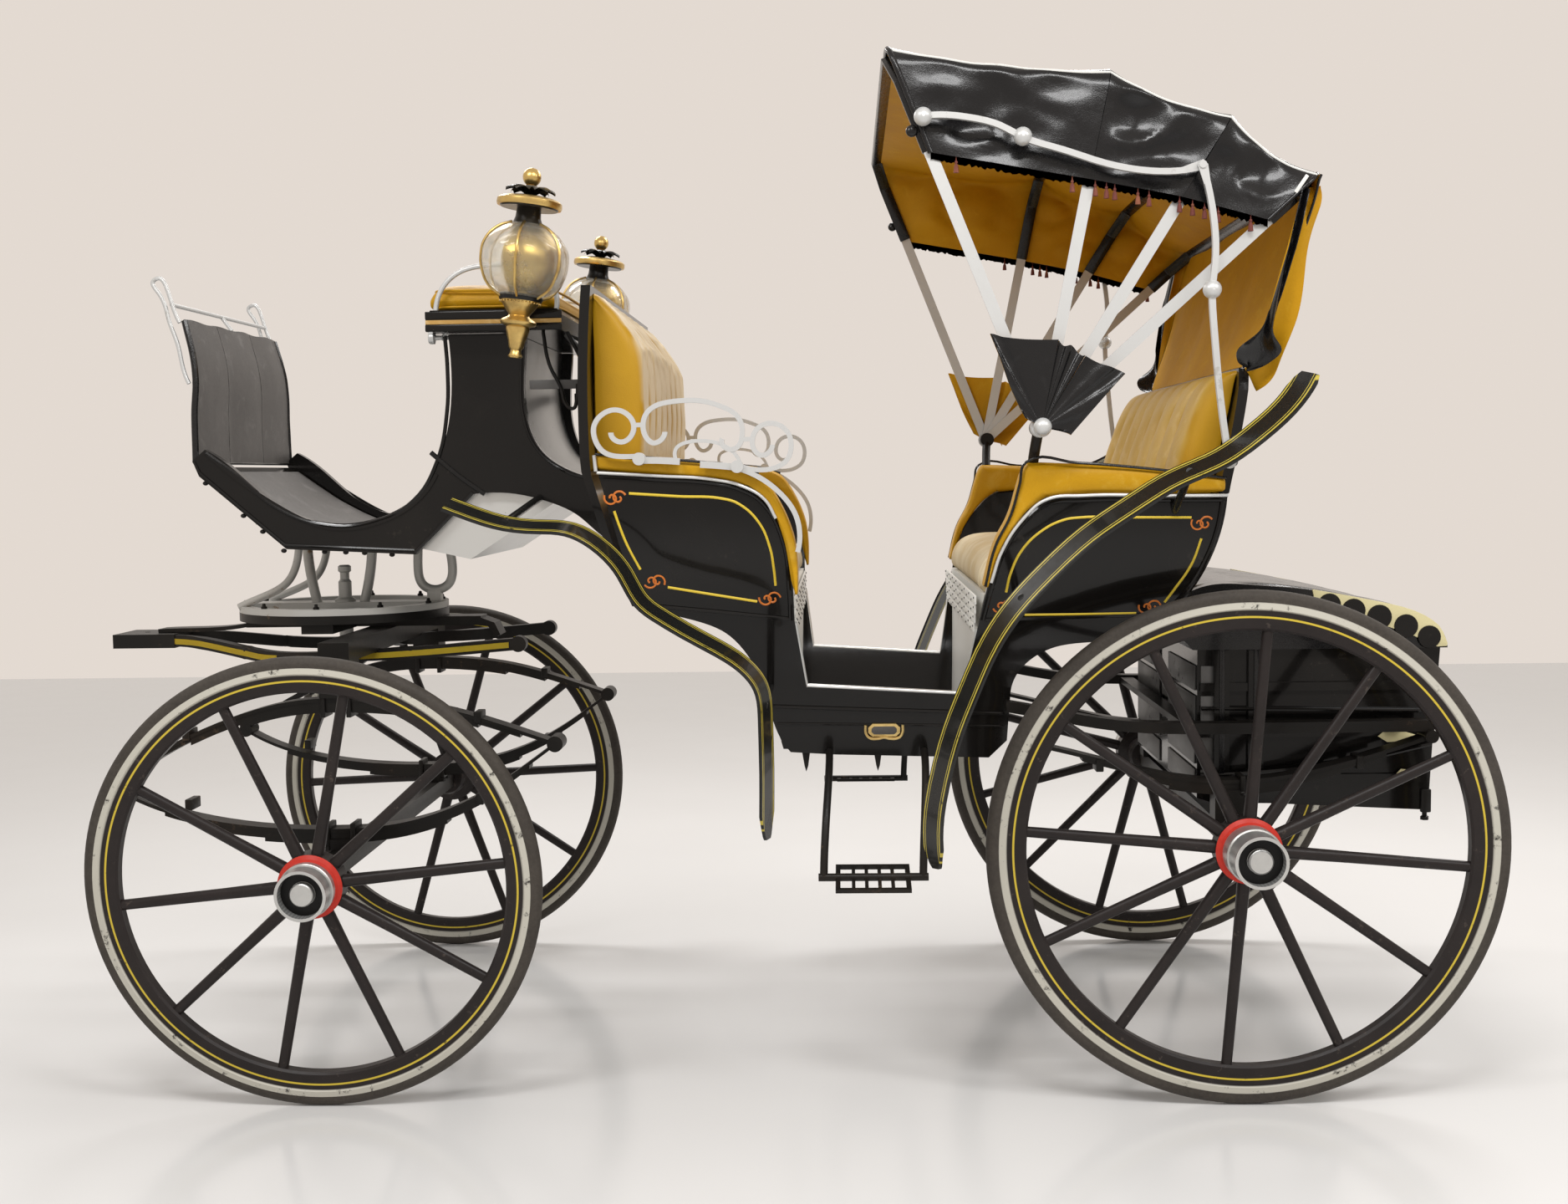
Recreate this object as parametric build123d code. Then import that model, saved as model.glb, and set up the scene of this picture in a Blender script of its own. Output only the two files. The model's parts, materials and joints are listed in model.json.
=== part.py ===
from build123d import *
import math
import os

# Horse drawn carriage: four wheels, a driver's box, two facing seats and a half hood.
# Millimetres. X runs to the rear, Y across, Z up from the floor. The near side is -Y.
# Shapes are drawn in the carriage's own frame and moved by SHIFT_X when they are written.

# Wheels
TYRE_HALF_WIDTH = 18.0
REAR_RADIUS = 580.0
REAR_AXLE_X = 1000.0
REAR_HALF_TRACK = 667.0
REAR_SPOKES = 12
REAR_CAP_REACH = 141.0
FRONT_RADIUS = 521.7
FRONT_AXLE_X = -1096.5
FRONT_HALF_TRACK = 695.5
FRONT_SPOKES = 10
FRONT_CAP_REACH = 95.0
FRONT_CAMBER = 3.35
HUB_BORE_RADIUS = 22.0
AXLE_ARM_RADIUS = 21.7
# First spoke above level, as seen from the near side
SPOKE_TURN = {"front_near": 6.0, "front_far": 2.5, "rear_near": 25.0, "rear_far": 15.0}

# Body
BOX_HALF_WIDTH = 360.0
BOX_PLATE = 24.0
PANEL = 20.0
SEAT_HALF_WIDTH = 520.0

# Overall length, from the pole socket's front to the back of the rear wheels
FRONT_TIP_X = -1803.0
REAR_END_X = REAR_AXLE_X + REAR_RADIUS
SHIFT_X = -(FRONT_TIP_X + REAR_END_X) / 2

# Turntable
KINGPIN_X = -1207.0
KINGPIN_RADIUS = 18.0
RING_RADIUS = 268.0
RING_WIDTH = 30.0
RING_TOP_Z = 1092.0
LOWER_RING_Z = 1070.0

# Hood
PIVOT_X = 541.0
PIVOT_Z = 1521.0
HOOD_HALF_WIDTH = 714.0
SLAT_THICK = 5.0
SLAT_WIDTH = 26.0
LEATHER = 5.0
# name: angle above the rearward level, roof radius, radius at the leather's lower edge,
# outer face of the slat at the pivot
BOWS = {
    "bow_rear": (41.8, 796.0, 651.0, 695.0),
    "bow_third": (58.0, 774.0, 573.0, 704.0),
    "bow_second": (78.6, 772.0, 538.0, 713.0),
    "bow_front": (111.6, 876.0, 635.0, 722.0),
}
SLAT_TOP_HALF_WIDTH = 700.0
STUD_RADIUS = 707.0
STUD_ANGLE = 110.8
ELBOW = (880.0, 2069.0)
FOOT = (940.0, 1440.0)
IRON_Y = 742.0
IRON_BAR = 6.5
STUD_PIN = 7.0

# Wings
WING_INNER_Y = 756.0
WING_WIDTH = 78.0
FRONT_WING_TURN = 18.0
REAR_WING_TURN = 28.0
WING_FOOT = 62.0


def run(kind, points):
    """One run of an outline in the XZ plane, straight or curved."""
    pts = [(x, 0, z) for x, z in points]
    return Spline(*pts) if kind == "curve" else Polyline(*pts)


def outline(*runs):
    """Closed face in the XZ plane from (kind, points) runs, each starting where the last ended."""
    edges = [run(kind, points) for kind, points in runs]
    first = runs[0][1][0]
    last = runs[-1][1][-1]
    if first != last:
        edges.append(Line((last[0], 0, last[1]), (first[0], 0, first[1])))
    return make_face(edges)


def prism(face, y_low, y_high):
    """The face drawn in XZ, thick from y_low to y_high."""
    return Pos(0, y_low, 0) * extrude(face, amount=y_high - y_low, dir=(0, 1, 0))


def across(points, x_low, x_high):
    """A closed outline given as (y, z) points, run along X."""
    face = make_face(Polyline(*[(x_low, y, z) for y, z in points], close=True))
    return extrude(face, amount=x_high - x_low, dir=(1, 0, 0))


def box(x_low, x_high, y_low, y_high, z_low, z_high):
    return Pos((x_low + x_high) / 2, (y_low + y_high) / 2, (z_low + z_high) / 2) * Box(
        x_high - x_low, y_high - y_low, z_high - z_low
    )


def rod(start, end, radius):
    """A round bar between two points."""
    a, b = Vector(*start), Vector(*end)
    length = (b - a).length
    return Plane(origin=a, z_dir=(b - a)) * Cylinder(
        radius, length, align=(Align.CENTER, Align.CENTER, Align.MIN)
    )


def wire(points, radius, y=None):
    """A round bar bent along points; (x, z) points lie in the plane at y."""
    pts = [(p[0], y, p[1]) for p in points] if y is not None else points
    path = Spline(*pts)
    ahead = path % 0
    aside = Vector(0, 1, 0) if abs(ahead.Y) < 0.9 else Vector(1, 0, 0)
    start = Plane(origin=path @ 0, x_dir=aside - ahead * aside.dot(ahead), z_dir=ahead)
    return sweep(start * Circle(radius), path=path)


def strap(points, y, wide, thick, turn=0.0):
    """A flat bar of a given width across Y, bent along (x, z) points, its face turned by turn."""
    path = Spline(*[(x, y, z) for x, z in points])
    start = Plane(origin=path @ 0, x_dir=(0, 1, 0), z_dir=path % 0)
    return sweep(start * Rot(0, 0, turn) * Rectangle(wide, thick), path=path)


def flat_bar(points, half, y, thick):
    """A bar cut from plate: its width is 2 * half in the XZ plane, along (x, z) points."""
    path = Spline(*[(x, 0, z) for x, z in points])
    left, right = [], []
    count = 2 * len(points)
    for k in range(count + 1):
        at, ahead = path @ (k / count), path % (k / count)
        left.append((at.X - ahead.Z * half, at.Z + ahead.X * half))
        right.append((at.X + ahead.Z * half, at.Z - ahead.X * half))
    face = outline(("curve", left), ("line", [left[-1], right[-1]]), ("curve", right[::-1]))
    return prism(face, y - thick / 2, y + thick / 2)


def both(shape):
    """The shape and its mirror image on the far side."""
    return [shape, mirror(shape, about=Plane.XZ)]


def fuse(pieces):
    whole = pieces[0]
    if len(pieces) > 1:
        whole = whole.fuse(*pieces[1:])
    return whole


def flat(item):
    if isinstance(item, (list, tuple)):
        for part in item:
            yield from flat(part)
    else:
        yield item


def joined(*pieces):
    """The solids of the pieces after joining them where they meet."""
    solids = []
    for piece in flat(pieces):
        solids.extend(piece.solids())
    return list(fuse(solids).solids())


def trimmed(solids, tools):
    """The solids less the room that the tools take."""
    left = []
    for solid in solids:
        for tool in tools:
            solid = solid - tool
        left.extend(solid.solids())
    return left


def save(name, solids):
    """Moves the solids into the shared frame and writes one STEP file."""
    placed = [Pos(SHIFT_X, 0, 0) * solid for solid in solids]
    shape = placed[0] if len(placed) == 1 else Compound(placed)
    export_step(shape, "parts/" + name + ".step")


# Turned-under side: the side panels follow one curved section from the floor to the arms.
SIDE_SECTION = [
    (395, 700), (412, 760), (440, 850), (475, 945), (535, 1050), (585, 1150), (618, 1250), (638, 1370),
    (645, 1470),
]


def side_band():
    outer = Spline(*[(-600, -y, z) for y, z in SIDE_SECTION])
    inner = Spline(*[(-600, -(y - PANEL), z) for y, z in SIDE_SECTION])
    ends = [Line(outer @ 1, inner @ 1), Line(outer @ 0, inner @ 0)]
    return extrude(make_face([outer, inner, *ends]), amount=1800, dir=(1, 0, 0))


def cavity():
    """The room between the two side panels, for the pieces that span it."""
    near = Spline(*[(-600, -(y - PANEL), z) for y, z in SIDE_SECTION])
    far = Spline(*[(-600, y - PANEL, z) for y, z in SIDE_SECTION])
    ends = [Line(near @ 1, far @ 1), Line(near @ 0, far @ 0)]
    lower = extrude(make_face([near, far, *ends]), amount=1800, dir=(1, 0, 0))
    top_z = SIDE_SECTION[-1][1]
    half = SIDE_SECTION[-1][0] - PANEL
    upper = across([(-half, top_z), (half, top_z), (560, 1900), (-560, 1900)], -600, 1200)
    return lower + upper


BAND = side_band()
ROOM = cavity()


def side_panel(face):
    return prism(face, -700, -300) & BAND


# Driver's box
def boot_sides():
    plate = outline(
        ("curve", [(-1431, 1507), (-1361, 1458), (-1262, 1372), (-1137, 1326), (-1018, 1336), (-925, 1383),
                   (-859, 1480), (-829, 1600), (-825, 1693), (-830, 1773)]),
        ("line", [(-830, 1773), (-643, 1773)]),
        ("curve", [(-643, 1773), (-648, 1700), (-644, 1565), (-614, 1495), (-553, 1448), (-478, 1424)]),
        ("line", [(-478, 1424), (-425, 1262)]),
        ("curve", [(-425, 1262), (-476, 1290), (-527, 1335), (-599, 1370), (-679, 1390), (-779, 1391)]),
        ("line", [(-779, 1391), (-865, 1305), (-925, 1247), (-1240, 1264), (-1448, 1443), (-1463, 1480)]),
    )
    side = prism(plate, -BOX_HALF_WIDTH, -BOX_HALF_WIDTH + BOX_PLATE)
    groove = prism(outline(("line", [(-880, 1486), (-756, 1384), (-750, 1390), (-874, 1492)])),
                   -BOX_HALF_WIDTH - 1, -BOX_HALF_WIDTH + 3)
    bead = strap([(-1424, 1496), (-1361, 1441), (-1252, 1366), (-1137, 1316), (-1018, 1324), (-922, 1372),
                  (-868, 1440)], -BOX_HALF_WIDTH - 1.5, 5, 9)
    return both(side - groove + bead)


def footboard():
    inner = BOX_HALF_WIDTH - BOX_PLATE
    floor = outline(
        ("curve", [(-1448, 1466), (-1300, 1360), (-1180, 1304), (-1060, 1292), (-925, 1296)]),
        ("line", [(-925, 1296), (-925, 1278)]),
        ("curve", [(-925, 1278), (-1060, 1274), (-1185, 1287), (-1308, 1345), (-1456, 1450)]),
    )
    pieces = [prism(floor, -inner, inner)]
    for x, z in [(-1300, 1348), (-1131, 1282), (-1012, 1279), (-938, 1281)]:
        pieces.append(box(x - 21, x + 21, -inner, inner, 1262 if x > -1200 else z - 24, z))
    return pieces


def dash():
    curve = [(-1464, 1481), (-1464, 1584), (-1461, 1665), (-1467, 1735), (-1487, 1822)]
    leather = outline(
        ("curve", curve),
        ("line", [(-1487, 1822), (-1477, 1825)]),
        ("curve", [(-1477, 1825), (-1456, 1738), (-1450, 1665), (-1453, 1584), (-1453, 1481)]),
    )
    span = across([(-352, 1470), (352, 1470), (326, 1830), (-326, 1830)], -1600, -1300)
    return prism(leather, -400, 400) & span


def seat_board():
    plate = outline(("line", [(-868, 1774), (-868, 1810), (-856, 1824), (-556, 1824), (-546, 1810),
                              (-546, 1774)]))
    return prism(plate, -425, 425)


def box_cushion():
    body = outline(
        ("curve", [(-868, 1824.3), (-874, 1846), (-862, 1872), (-835, 1883)]),
        ("line", [(-835, 1883), (-600, 1875)]),
        ("curve", [(-600, 1875), (-565, 1866), (-552, 1845), (-556, 1824.3)]),
    )
    return prism(body, -408, 408)


def wire_rails():
    pieces = []
    arm = [(-844, 1814), (-836, 1858), (-815, 1891), (-780, 1915), (-717, 1927), (-640, 1922), (-580, 1895),
           (-560, 1814)]
    pieces += both(wire(arm, 6, y=-419))
    loop = [(-1474, 1668), (-1486, 1700), (-1499, 1766), (-1516, 1817), (-1540, 1887), (-1552, 1915),
            (-1538, 1922), (-1519, 1897), (-1508, 1860), (-1499, 1832), (-1491, 1815)]
    pieces += both(wire(loop, 5, y=-331))
    pieces.append(rod((-1509, -331, 1858), (-1509, 331, 1858), 5))
    pieces.append(rod((-1509, 0, 1858), (-1483, 0, 1822), 5))
    pieces += both(rod((-872, -348, 1766), (-829, -348, 1766), 5))
    pieces += both(rod((-876, -348, 1766), (-866, -348, 1766), 15))
    return pieces


def boot_pan():
    inner = BOX_HALF_WIDTH - BOX_PLATE
    wall = outline(
        ("curve", [(-672, 1773), (-676, 1690), (-668, 1580), (-632, 1492), (-560, 1438), (-486, 1420)]),
        ("line", [(-486, 1420), (-486, 1414)]),
        ("curve", [(-486, 1414), (-564, 1431), (-638, 1487), (-674, 1578), (-682, 1690), (-678, 1773)]),
    )
    chute = outline(("line", [(-916, 1260), (-796, 1233), (-656, 1323), (-590, 1366), (-560, 1392),
                              (-590, 1410), (-775, 1392), (-821, 1370), (-916, 1290)]))
    return [prism(wall, -inner, inner), prism(chute, -inner, inner)]


def front_board():
    plate = outline(
        ("curve", [(-477, 1861), (-483, 1740), (-484, 1600), (-477, 1440)]),
        ("line", [(-477, 1440), (-424, 1255), (-377, 1130), (-360, 1130), (-406, 1255), (-455, 1432)]),
        ("curve", [(-455, 1432), (-462, 1600), (-461, 1740), (-455, 1861)]),
    )
    return prism(plate, -700, 700) & ROOM


def lamp():
    """A carriage lamp about its own upright axis, from the stem's tip."""
    stem = [(0, 0), (14, 0), (20, 12), (18, 44), (26, 52), (40, 66), (40, 72), (22, 78), (15, 88), (25, 95),
            (46, 120), (50, 136), (54, 138), (54, 144), (0, 144)]
    cap = [(0, 306), (36, 306), (31, 322), (33, 338), (73, 333), (76, 340), (46, 362), (20, 370), (8, 392),
           (0, 392)]
    pieces = []
    for profile in (stem, cap):
        face = make_face(Polyline(*[(r, 0, z) for r, z in profile], close=True))
        pieces.append(revolve(face, axis=Axis.Z))
    pieces.append(Pos(0, 0, 410) * Sphere(21))
    rib = Spline((50, 0, 142), (92, 0, 180), (106, 0, 226), (90, 0, 276), (35, 0, 309))
    bar = sweep(Plane(origin=rib @ 0, z_dir=rib % 0) * Circle(3.5), path=rib)
    for k in range(6):
        pieces.append(Rot(0, 0, 30 + 60 * k) * bar)
    pieces.append(Pos(0, 0, 143) * Cylinder(8, 60, align=(Align.CENTER, Align.CENTER, Align.MIN)))
    return pieces


LAMP_PLACE = Pos(-632, -552, 1720) * Rot(0, 7, 0)


def lamps():
    body = fuse([LAMP_PLACE * p for p in lamp()])
    bracket = rod((-624, -425, 1789), (-624, -540, 1789), 9)
    return both(body + bracket)


def lamp_glasses():
    outer = Spline((46, 0, 145), (86, 0, 182), (100, 0, 226), (84, 0, 274), (34, 0, 305))
    inner = Spline((43, 0, 145), (83, 0, 183), (97, 0, 226), (81, 0, 273), (31, 0, 305))
    face = make_face([outer, inner, Line(outer @ 0, inner @ 0), Line(outer @ 1, inner @ 1)])
    return both(LAMP_PLACE * revolve(face, axis=Axis.Z))


# Passenger tub
FRONT_TOP = [(-437, 1438), (-302, 1427), (-177, 1417), (-112, 1401), (-63, 1371), (-19, 1290), (-5, 1161),
             (-4, 1091)]
REAR_TOP = [(417, 1085), (431, 1156), (459, 1251), (510, 1324), (558, 1362), (640, 1370), (834, 1367),
            (960, 1366)]
REAR_END = [(960, 1366), (949, 1288), (924, 1213), (891, 1150), (850, 1097)]


def front_sides():
    face = outline(("curve", FRONT_TOP), ("line", [(-4, 1091), (-348, 1129), (-390, 1255), (-437, 1438)]))
    return both(side_panel(face))


def tub_sides():
    face = outline(
        ("line", [(-348, 1129), (-4, 1091), (19, 928), (384, 905), (417, 1085), (850, 1097)]),
        ("curve", [(850, 1097), (780, 1052), (696, 1034), (588, 1019), (522, 972), (497, 900)]),
        ("line", [(497, 900), (492, 790), (450, 747), (86, 758), (-22, 765)]),
        ("curve", [(-22, 765), (-45, 799), (-67, 864), (-88, 950), (-117, 1011), (-164, 1065), (-215, 1090),
                   (-348, 1129)]),
    )
    return both(side_panel(face))


def tub_floor():
    floor = prism(outline(("line", [(-40, 770), (450, 756), (450, 776), (-45, 790)])), -700, 700)
    front = prism(outline(
        ("curve", [(-348, 1135), (-215, 1096), (-164, 1071), (-117, 1017), (-88, 956), (-67, 870),
                   (-45, 792)]),
        ("line", [(-45, 792), (-31, 792)]),
        ("curve", [(-31, 792), (-53, 876), (-74, 962), (-107, 1027), (-157, 1083), (-212, 1110),
                   (-342, 1148)]),
    ), -700, 700)
    rear = prism(outline(
        ("line", [(436, 776), (484, 790), (490, 900)]),
        ("curve", [(490, 900), (515, 975), (583, 1025), (692, 1040), (776, 1058), (838, 1097)]),
        ("line", [(838, 1097), (815, 1100)]),
        ("curve", [(815, 1100), (770, 1072), (690, 1054), (575, 1039), (503, 985), (476, 903)]),
        ("line", [(476, 903), (470, 800), (436, 790)]),
    ), -700, 700)
    return [piece & ROOM for piece in (floor, front, rear)]


def rear_sides():
    face = outline(("curve", REAR_TOP), ("curve", REAR_END), ("line", [(850, 1097), (417, 1085)]))
    return both(side_panel(face))


def arm_pads():
    front = outline(
        ("line", [(-441, 1440), (-444, 1478)]),
        ("curve", [(-444, 1478), (-355, 1471), (-253, 1461), (-150, 1449), (-70, 1428), (-25, 1360),
                   (6, 1240), (4, 1150)]),
        ("line", [(4, 1150), (-5, 1150)]),
        ("curve", [(-5, 1150), (-5, 1165), (-18, 1293), (-62, 1374), (-112, 1404), (-177, 1420),
                   (-302, 1430), (-441, 1440)]),
    )
    rear = outline(
        ("line", [(432, 1160), (420, 1166)]),
        ("curve", [(420, 1166), (446, 1262), (480, 1330), (500, 1400), (514, 1446)]),
        ("line", [(514, 1446), (741, 1431), (958, 1404), (960, 1369)]),
        ("curve", [(960, 1369), (834, 1370), (640, 1373), (557, 1365), (508, 1328), (457, 1254),
                   (432, 1160)]),
    )
    return [both(prism(front, -652, -570)), both(prism(rear, -652, -570))]


def rear_back():
    board = outline(
        ("line", [(1000, 1650), (1022, 1648)]),
        ("curve", [(1022, 1648), (1010, 1570), (990, 1480), (968, 1372)]),
        ("line", [(968, 1372), (960, 1366)]),
        ("curve", REAR_END),
        ("line", [(850, 1097), (832, 1100)]),
        ("curve", [(832, 1100), (872, 1155), (905, 1217), (930, 1290), (945, 1375)]),
        ("curve", [(945, 1375), (968, 1480), (988, 1570), (1000, 1650)]),
    )
    return prism(board, -700, 700) & ROOM & across(
        [(-640, 1090), (640, 1090), (625, 1440), (590, 1600), (560, 1655), (-560, 1655), (-590, 1600),
         (-625, 1440)],
        0, 1200)


def seats():
    front_back = prism(outline(
        ("line", [(-455, 1440), (-352, 1440)]),
        ("curve", [(-352, 1440), (-340, 1500), (-340, 1600), (-349, 1715), (-395, 1797), (-430, 1840),
                   (-455, 1850)]),
        ("curve", [(-455, 1850), (-460.5, 1740), (-461.5, 1600), (-455, 1440)])),
        -SEAT_HALF_WIDTH, SEAT_HALF_WIDTH)
    rear_back = prism(outline(
        ("curve", [(999.6, 1650), (945, 1634), (903, 1560), (862, 1430), (848, 1340), (840, 1252)]),
        ("line", [(840, 1252), (911, 1244)]),
        ("curve", [(911, 1244), (929, 1290), (944.6, 1375)]),
        ("curve", [(944.6, 1375), (967.6, 1480), (987.6, 1570), (999.6, 1650)])),
        -SEAT_HALF_WIDTH - 30, SEAT_HALF_WIDTH + 30)
    front_seat = prism(outline(
        ("line", [(-386, 1246), (-364, 1151.3), (-12, 1151.3)]),
        ("curve", [(-12, 1151.3), (-4, 1180), (-22, 1228), (-110, 1250), (-250, 1252), (-386, 1246)])),
        -SEAT_HALF_WIDTH, SEAT_HALF_WIDTH)
    rear_seat = prism(outline(
        ("line", [(838, 1147.3), (425, 1147.3)]),
        ("curve", [(425, 1147.3), (413, 1185), (442, 1236), (520, 1250), (838, 1236)])), -SEAT_HALF_WIDTH,
        SEAT_HALF_WIDTH)
    return front_back, rear_back, front_seat, rear_seat


def seat_boxes():
    front = prism(outline(("line", [(-240, 1151), (-8, 1151), (-12, 791), (-27, 791), (-25, 1132),
                                    (-240, 1132)])),
                  -700, 700) & ROOM
    rear = prism(outline(("line", [(428, 1147), (820, 1147), (820, 1128), (446, 1128), (434, 790),
                                   (414, 790)])),
                 -700, 700) & ROOM
    return front, rear


def scroll_rails():
    y = -667
    scrolls = [
        [(-339, 1472), (-381, 1472), (-418, 1482), (-438, 1512), (-439, 1540), (-422, 1564), (-391, 1575),
         (-365, 1565), (-351, 1542), (-357, 1517), (-378, 1504), (-395, 1510), (-402, 1525)],
        [(-282, 1525), (-290, 1508), (-309, 1501), (-325, 1516), (-330, 1542), (-322, 1566), (-298, 1584),
         (-266, 1591), (-191, 1590), (-154, 1578), (-127, 1563), (-112, 1539), (-111, 1513), (-118, 1493),
         (-135, 1484), (-154, 1493), (-155, 1508)],
        [(-44, 1493), (-52, 1477), (-68, 1470), (-85, 1483), (-88, 1507), (-77, 1529), (-53, 1540),
         (-25, 1534),
         (-6, 1511), (-3, 1487), (-13, 1459), (-32, 1445), (-69, 1438), (-101, 1442), (-117, 1446)],
        [(-119, 1441), (-64, 1415), (-27, 1384), (2, 1344), (13, 1301), (8, 1255)],
    ]
    inner_arch = [(-258, 1462), (-255, 1491), (-230, 1502), (-198, 1504), (-161, 1497), (-131, 1478),
                  (-116, 1452)]
    pieces = [flat_bar(points, 5.5, y, 10) for points in scrolls]
    pieces.append(flat_bar(inner_arch, 4, y, 8))
    pieces.append(box(-354, -327, y - 5, y + 5, 1536, 1546))
    pieces.append(box(-114, -85, y - 5, y + 5, 1501, 1511))
    pieces.append(flat_bar([(-336, 1463), (-290, 1462), (-250, 1459)], 7.5, y, 14))
    pieces.append(flat_bar([(-205, 1452), (-165, 1449), (-128, 1445)], 7.5, y, 14))
    for x, z in [(-340, 1466), (-123, 1446)]:
        pieces.append(Pos(x, y, z) * Rot(90, 0, 0) * Cylinder(14, 30))
    rail = pieces[0]
    for piece in pieces[1:]:
        rail = rail.fuse(piece)
    return both(rail)


# Wings
FRONT_WING = [(-743, 1374), (-689, 1353), (-627, 1333), (-554, 1323), (-482, 1317), (-411, 1278),
              (-363, 1223),
              (-326, 1159), (-284, 1126), (-216, 1085), (-148, 1047), (-101, 1012), (-73, 973), (-63, 900),
              (-62, 760), (-63, 638)]
REAR_WING = [(303, 571), (296, 663), (314, 775), (346, 885), (374, 954), (414, 1044), (470, 1131),
             (545, 1212),
             (636, 1293), (724, 1352), (810, 1404), (910, 1448), (985, 1500), (1050, 1560), (1092, 1625)]


def wing(points, turn, foot_z, top_z):
    """A bent strap whose outer edge hangs lower, its ends at these heights drawn in and rounded."""
    middle = -(WING_INNER_Y + WING_WIDTH / 2)
    blade = strap(points, middle, WING_WIDTH, 6, turn)
    half = WING_WIDTH / 2
    narrow = half * 0.45
    sides = [(middle - half, top_z - 52), (middle - half, foot_z + WING_FOOT), (middle - narrow, foot_z + 8),
             (middle - narrow / 2, foot_z - 4), (middle + narrow / 2, foot_z - 4),
             (middle + narrow, foot_z + 8), (middle + half, foot_z + WING_FOOT), (middle + half, top_z - 52),
             (middle + half * 0.7, top_z - 16), (middle + half * 0.25, top_z + 1),
             (middle - half * 0.25, top_z + 1), (middle - half * 0.7, top_z - 16)]
    return blade & across(sides, -900, 1300)


def wings():
    middle = -(WING_INNER_Y + WING_WIDTH / 2)
    front = [
        wing(FRONT_WING, FRONT_WING_TURN, FRONT_WING[-1][1], 1800),
        rod((-620, -352, 1380), (-620, middle, 1331), 9),
        rod((-66, -470, 930), (-66, middle, 930), 9),
    ]
    rear = [
        wing(REAR_WING, REAR_WING_TURN, REAR_WING[0][1], REAR_WING[-1][1] + 8),
        rod((500, -570, 1150), (490, middle, 1156), 9),
        rod((846, -620, 1330), (846, middle, 1421), 9),
    ]
    return both(fuse(front)), both(fuse(rear))


def steps():
    pieces = []
    tread_in, tread_out = (-552, 520), (-700, 498)
    for x, low_x in [(70, 56), (296, 282)]:
        hanger = [(x, -404, 768), (x - 1, -500, 722), (low_x + 4, -600, 600), (low_x, -626, 508)]
        pieces.append(wire(hanger, 9))
    pieces.append(rod((44, -626, 512), (294, -626, 512), 9))
    rise = math.degrees(math.atan2(tread_in[1] - tread_out[1], tread_in[0] - tread_out[0]))
    frame = Box(170, 152, 9) - Box(148, 130, 12)
    for k in range(1, 5):
        frame += Pos(-74 + 148 * k / 5, 0, 0) * Box(8, 134, 9)
    pieces.append(Pos(168, -626, 509) * Rot(rise, 0, 0) * frame)
    return both(fuse(pieces))


# Running gear
def wheel_parts(radius, spokes, cap_reach, turn):
    """Tyre and wheel about Z, the outer face towards +Z."""
    seat = radius * 0.953
    inner = radius * 0.845
    half = TYRE_HALF_WIDTH
    crown = radius - half
    tyre_face = make_face([
        Line((seat, 0, -half), (crown, 0, -half)),
        ThreePointArc((crown, 0, -half), (radius, 0, 0), (crown, 0, half)),
        Line((crown, 0, half), (seat, 0, half)),
        Line((seat, 0, half), (seat, 0, -half)),
    ])
    tyre = revolve(tyre_face, axis=Axis.Z)
    rim = [(seat, -half), (seat, half), (radius * 0.928, half + 2), (radius * 0.922, half - 1),
           (inner + 5, half - 2), (inner, half - 7), (inner, -half + 7), (inner + 5, -half + 2),
           (radius * 0.922, -half + 1), (radius * 0.928, -half - 2)]
    felloe = revolve(make_face(Polyline(*[(r, 0, z) for r, z in rim], close=True)), axis=Axis.Z)
    hub = [(HUB_BORE_RADIUS, -90), (44, -90), (50, -80), (50, -40), (62, -30), (74, -24), (74, 24),
           (66, 30), (62, 36), (62, cap_reach * 0.55), (58, cap_reach * 0.55 + 5), (56, cap_reach - 12),
           (58, cap_reach - 7), (58, cap_reach), (51, cap_reach), (51, cap_reach - 24), (27, cap_reach - 24),
           (27, cap_reach - 11), (24, cap_reach - 8), (0, cap_reach - 8), (0, cap_reach - 26),
           (HUB_BORE_RADIUS, cap_reach - 26)]
    nave = revolve(make_face(Polyline(*[(r, 0, z) for r, z in hub], close=True)), axis=Axis.Z)
    root_plane = Plane(origin=(60, 0, 0), x_dir=(0, 1, 0), z_dir=(1, 0, 0))
    neck_plane = Plane(origin=(radius * 0.4, 0, 0), x_dir=(0, 1, 0), z_dir=(1, 0, 0))
    tip_plane = Plane(origin=(inner + 6, 0, 0), x_dir=(0, 1, 0), z_dir=(1, 0, 0))
    spoke = loft([root_plane * Ellipse(15, 17), neck_plane * Ellipse(13, 12), tip_plane * Ellipse(12, 11)],
                 ruled=True)
    pieces = [nave, felloe]
    for k in range(spokes):
        pieces.append(Rot(0, 0, turn + 360 * k / spokes) * spoke)
    return tyre, fuse(pieces)


def wheel_place(x, half_track, radius, camber, side):
    """Stands a wheel on the floor; side is -1 near, 1 far. The top leans out by camber."""
    c = math.radians(camber)
    height = (radius - TYRE_HALF_WIDTH) * math.cos(c) + TYRE_HALF_WIDTH
    return Plane(origin=(x, side * half_track, height), x_dir=(1, 0, 0),
                 z_dir=(0, side * math.cos(c), -math.sin(c)))


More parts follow.
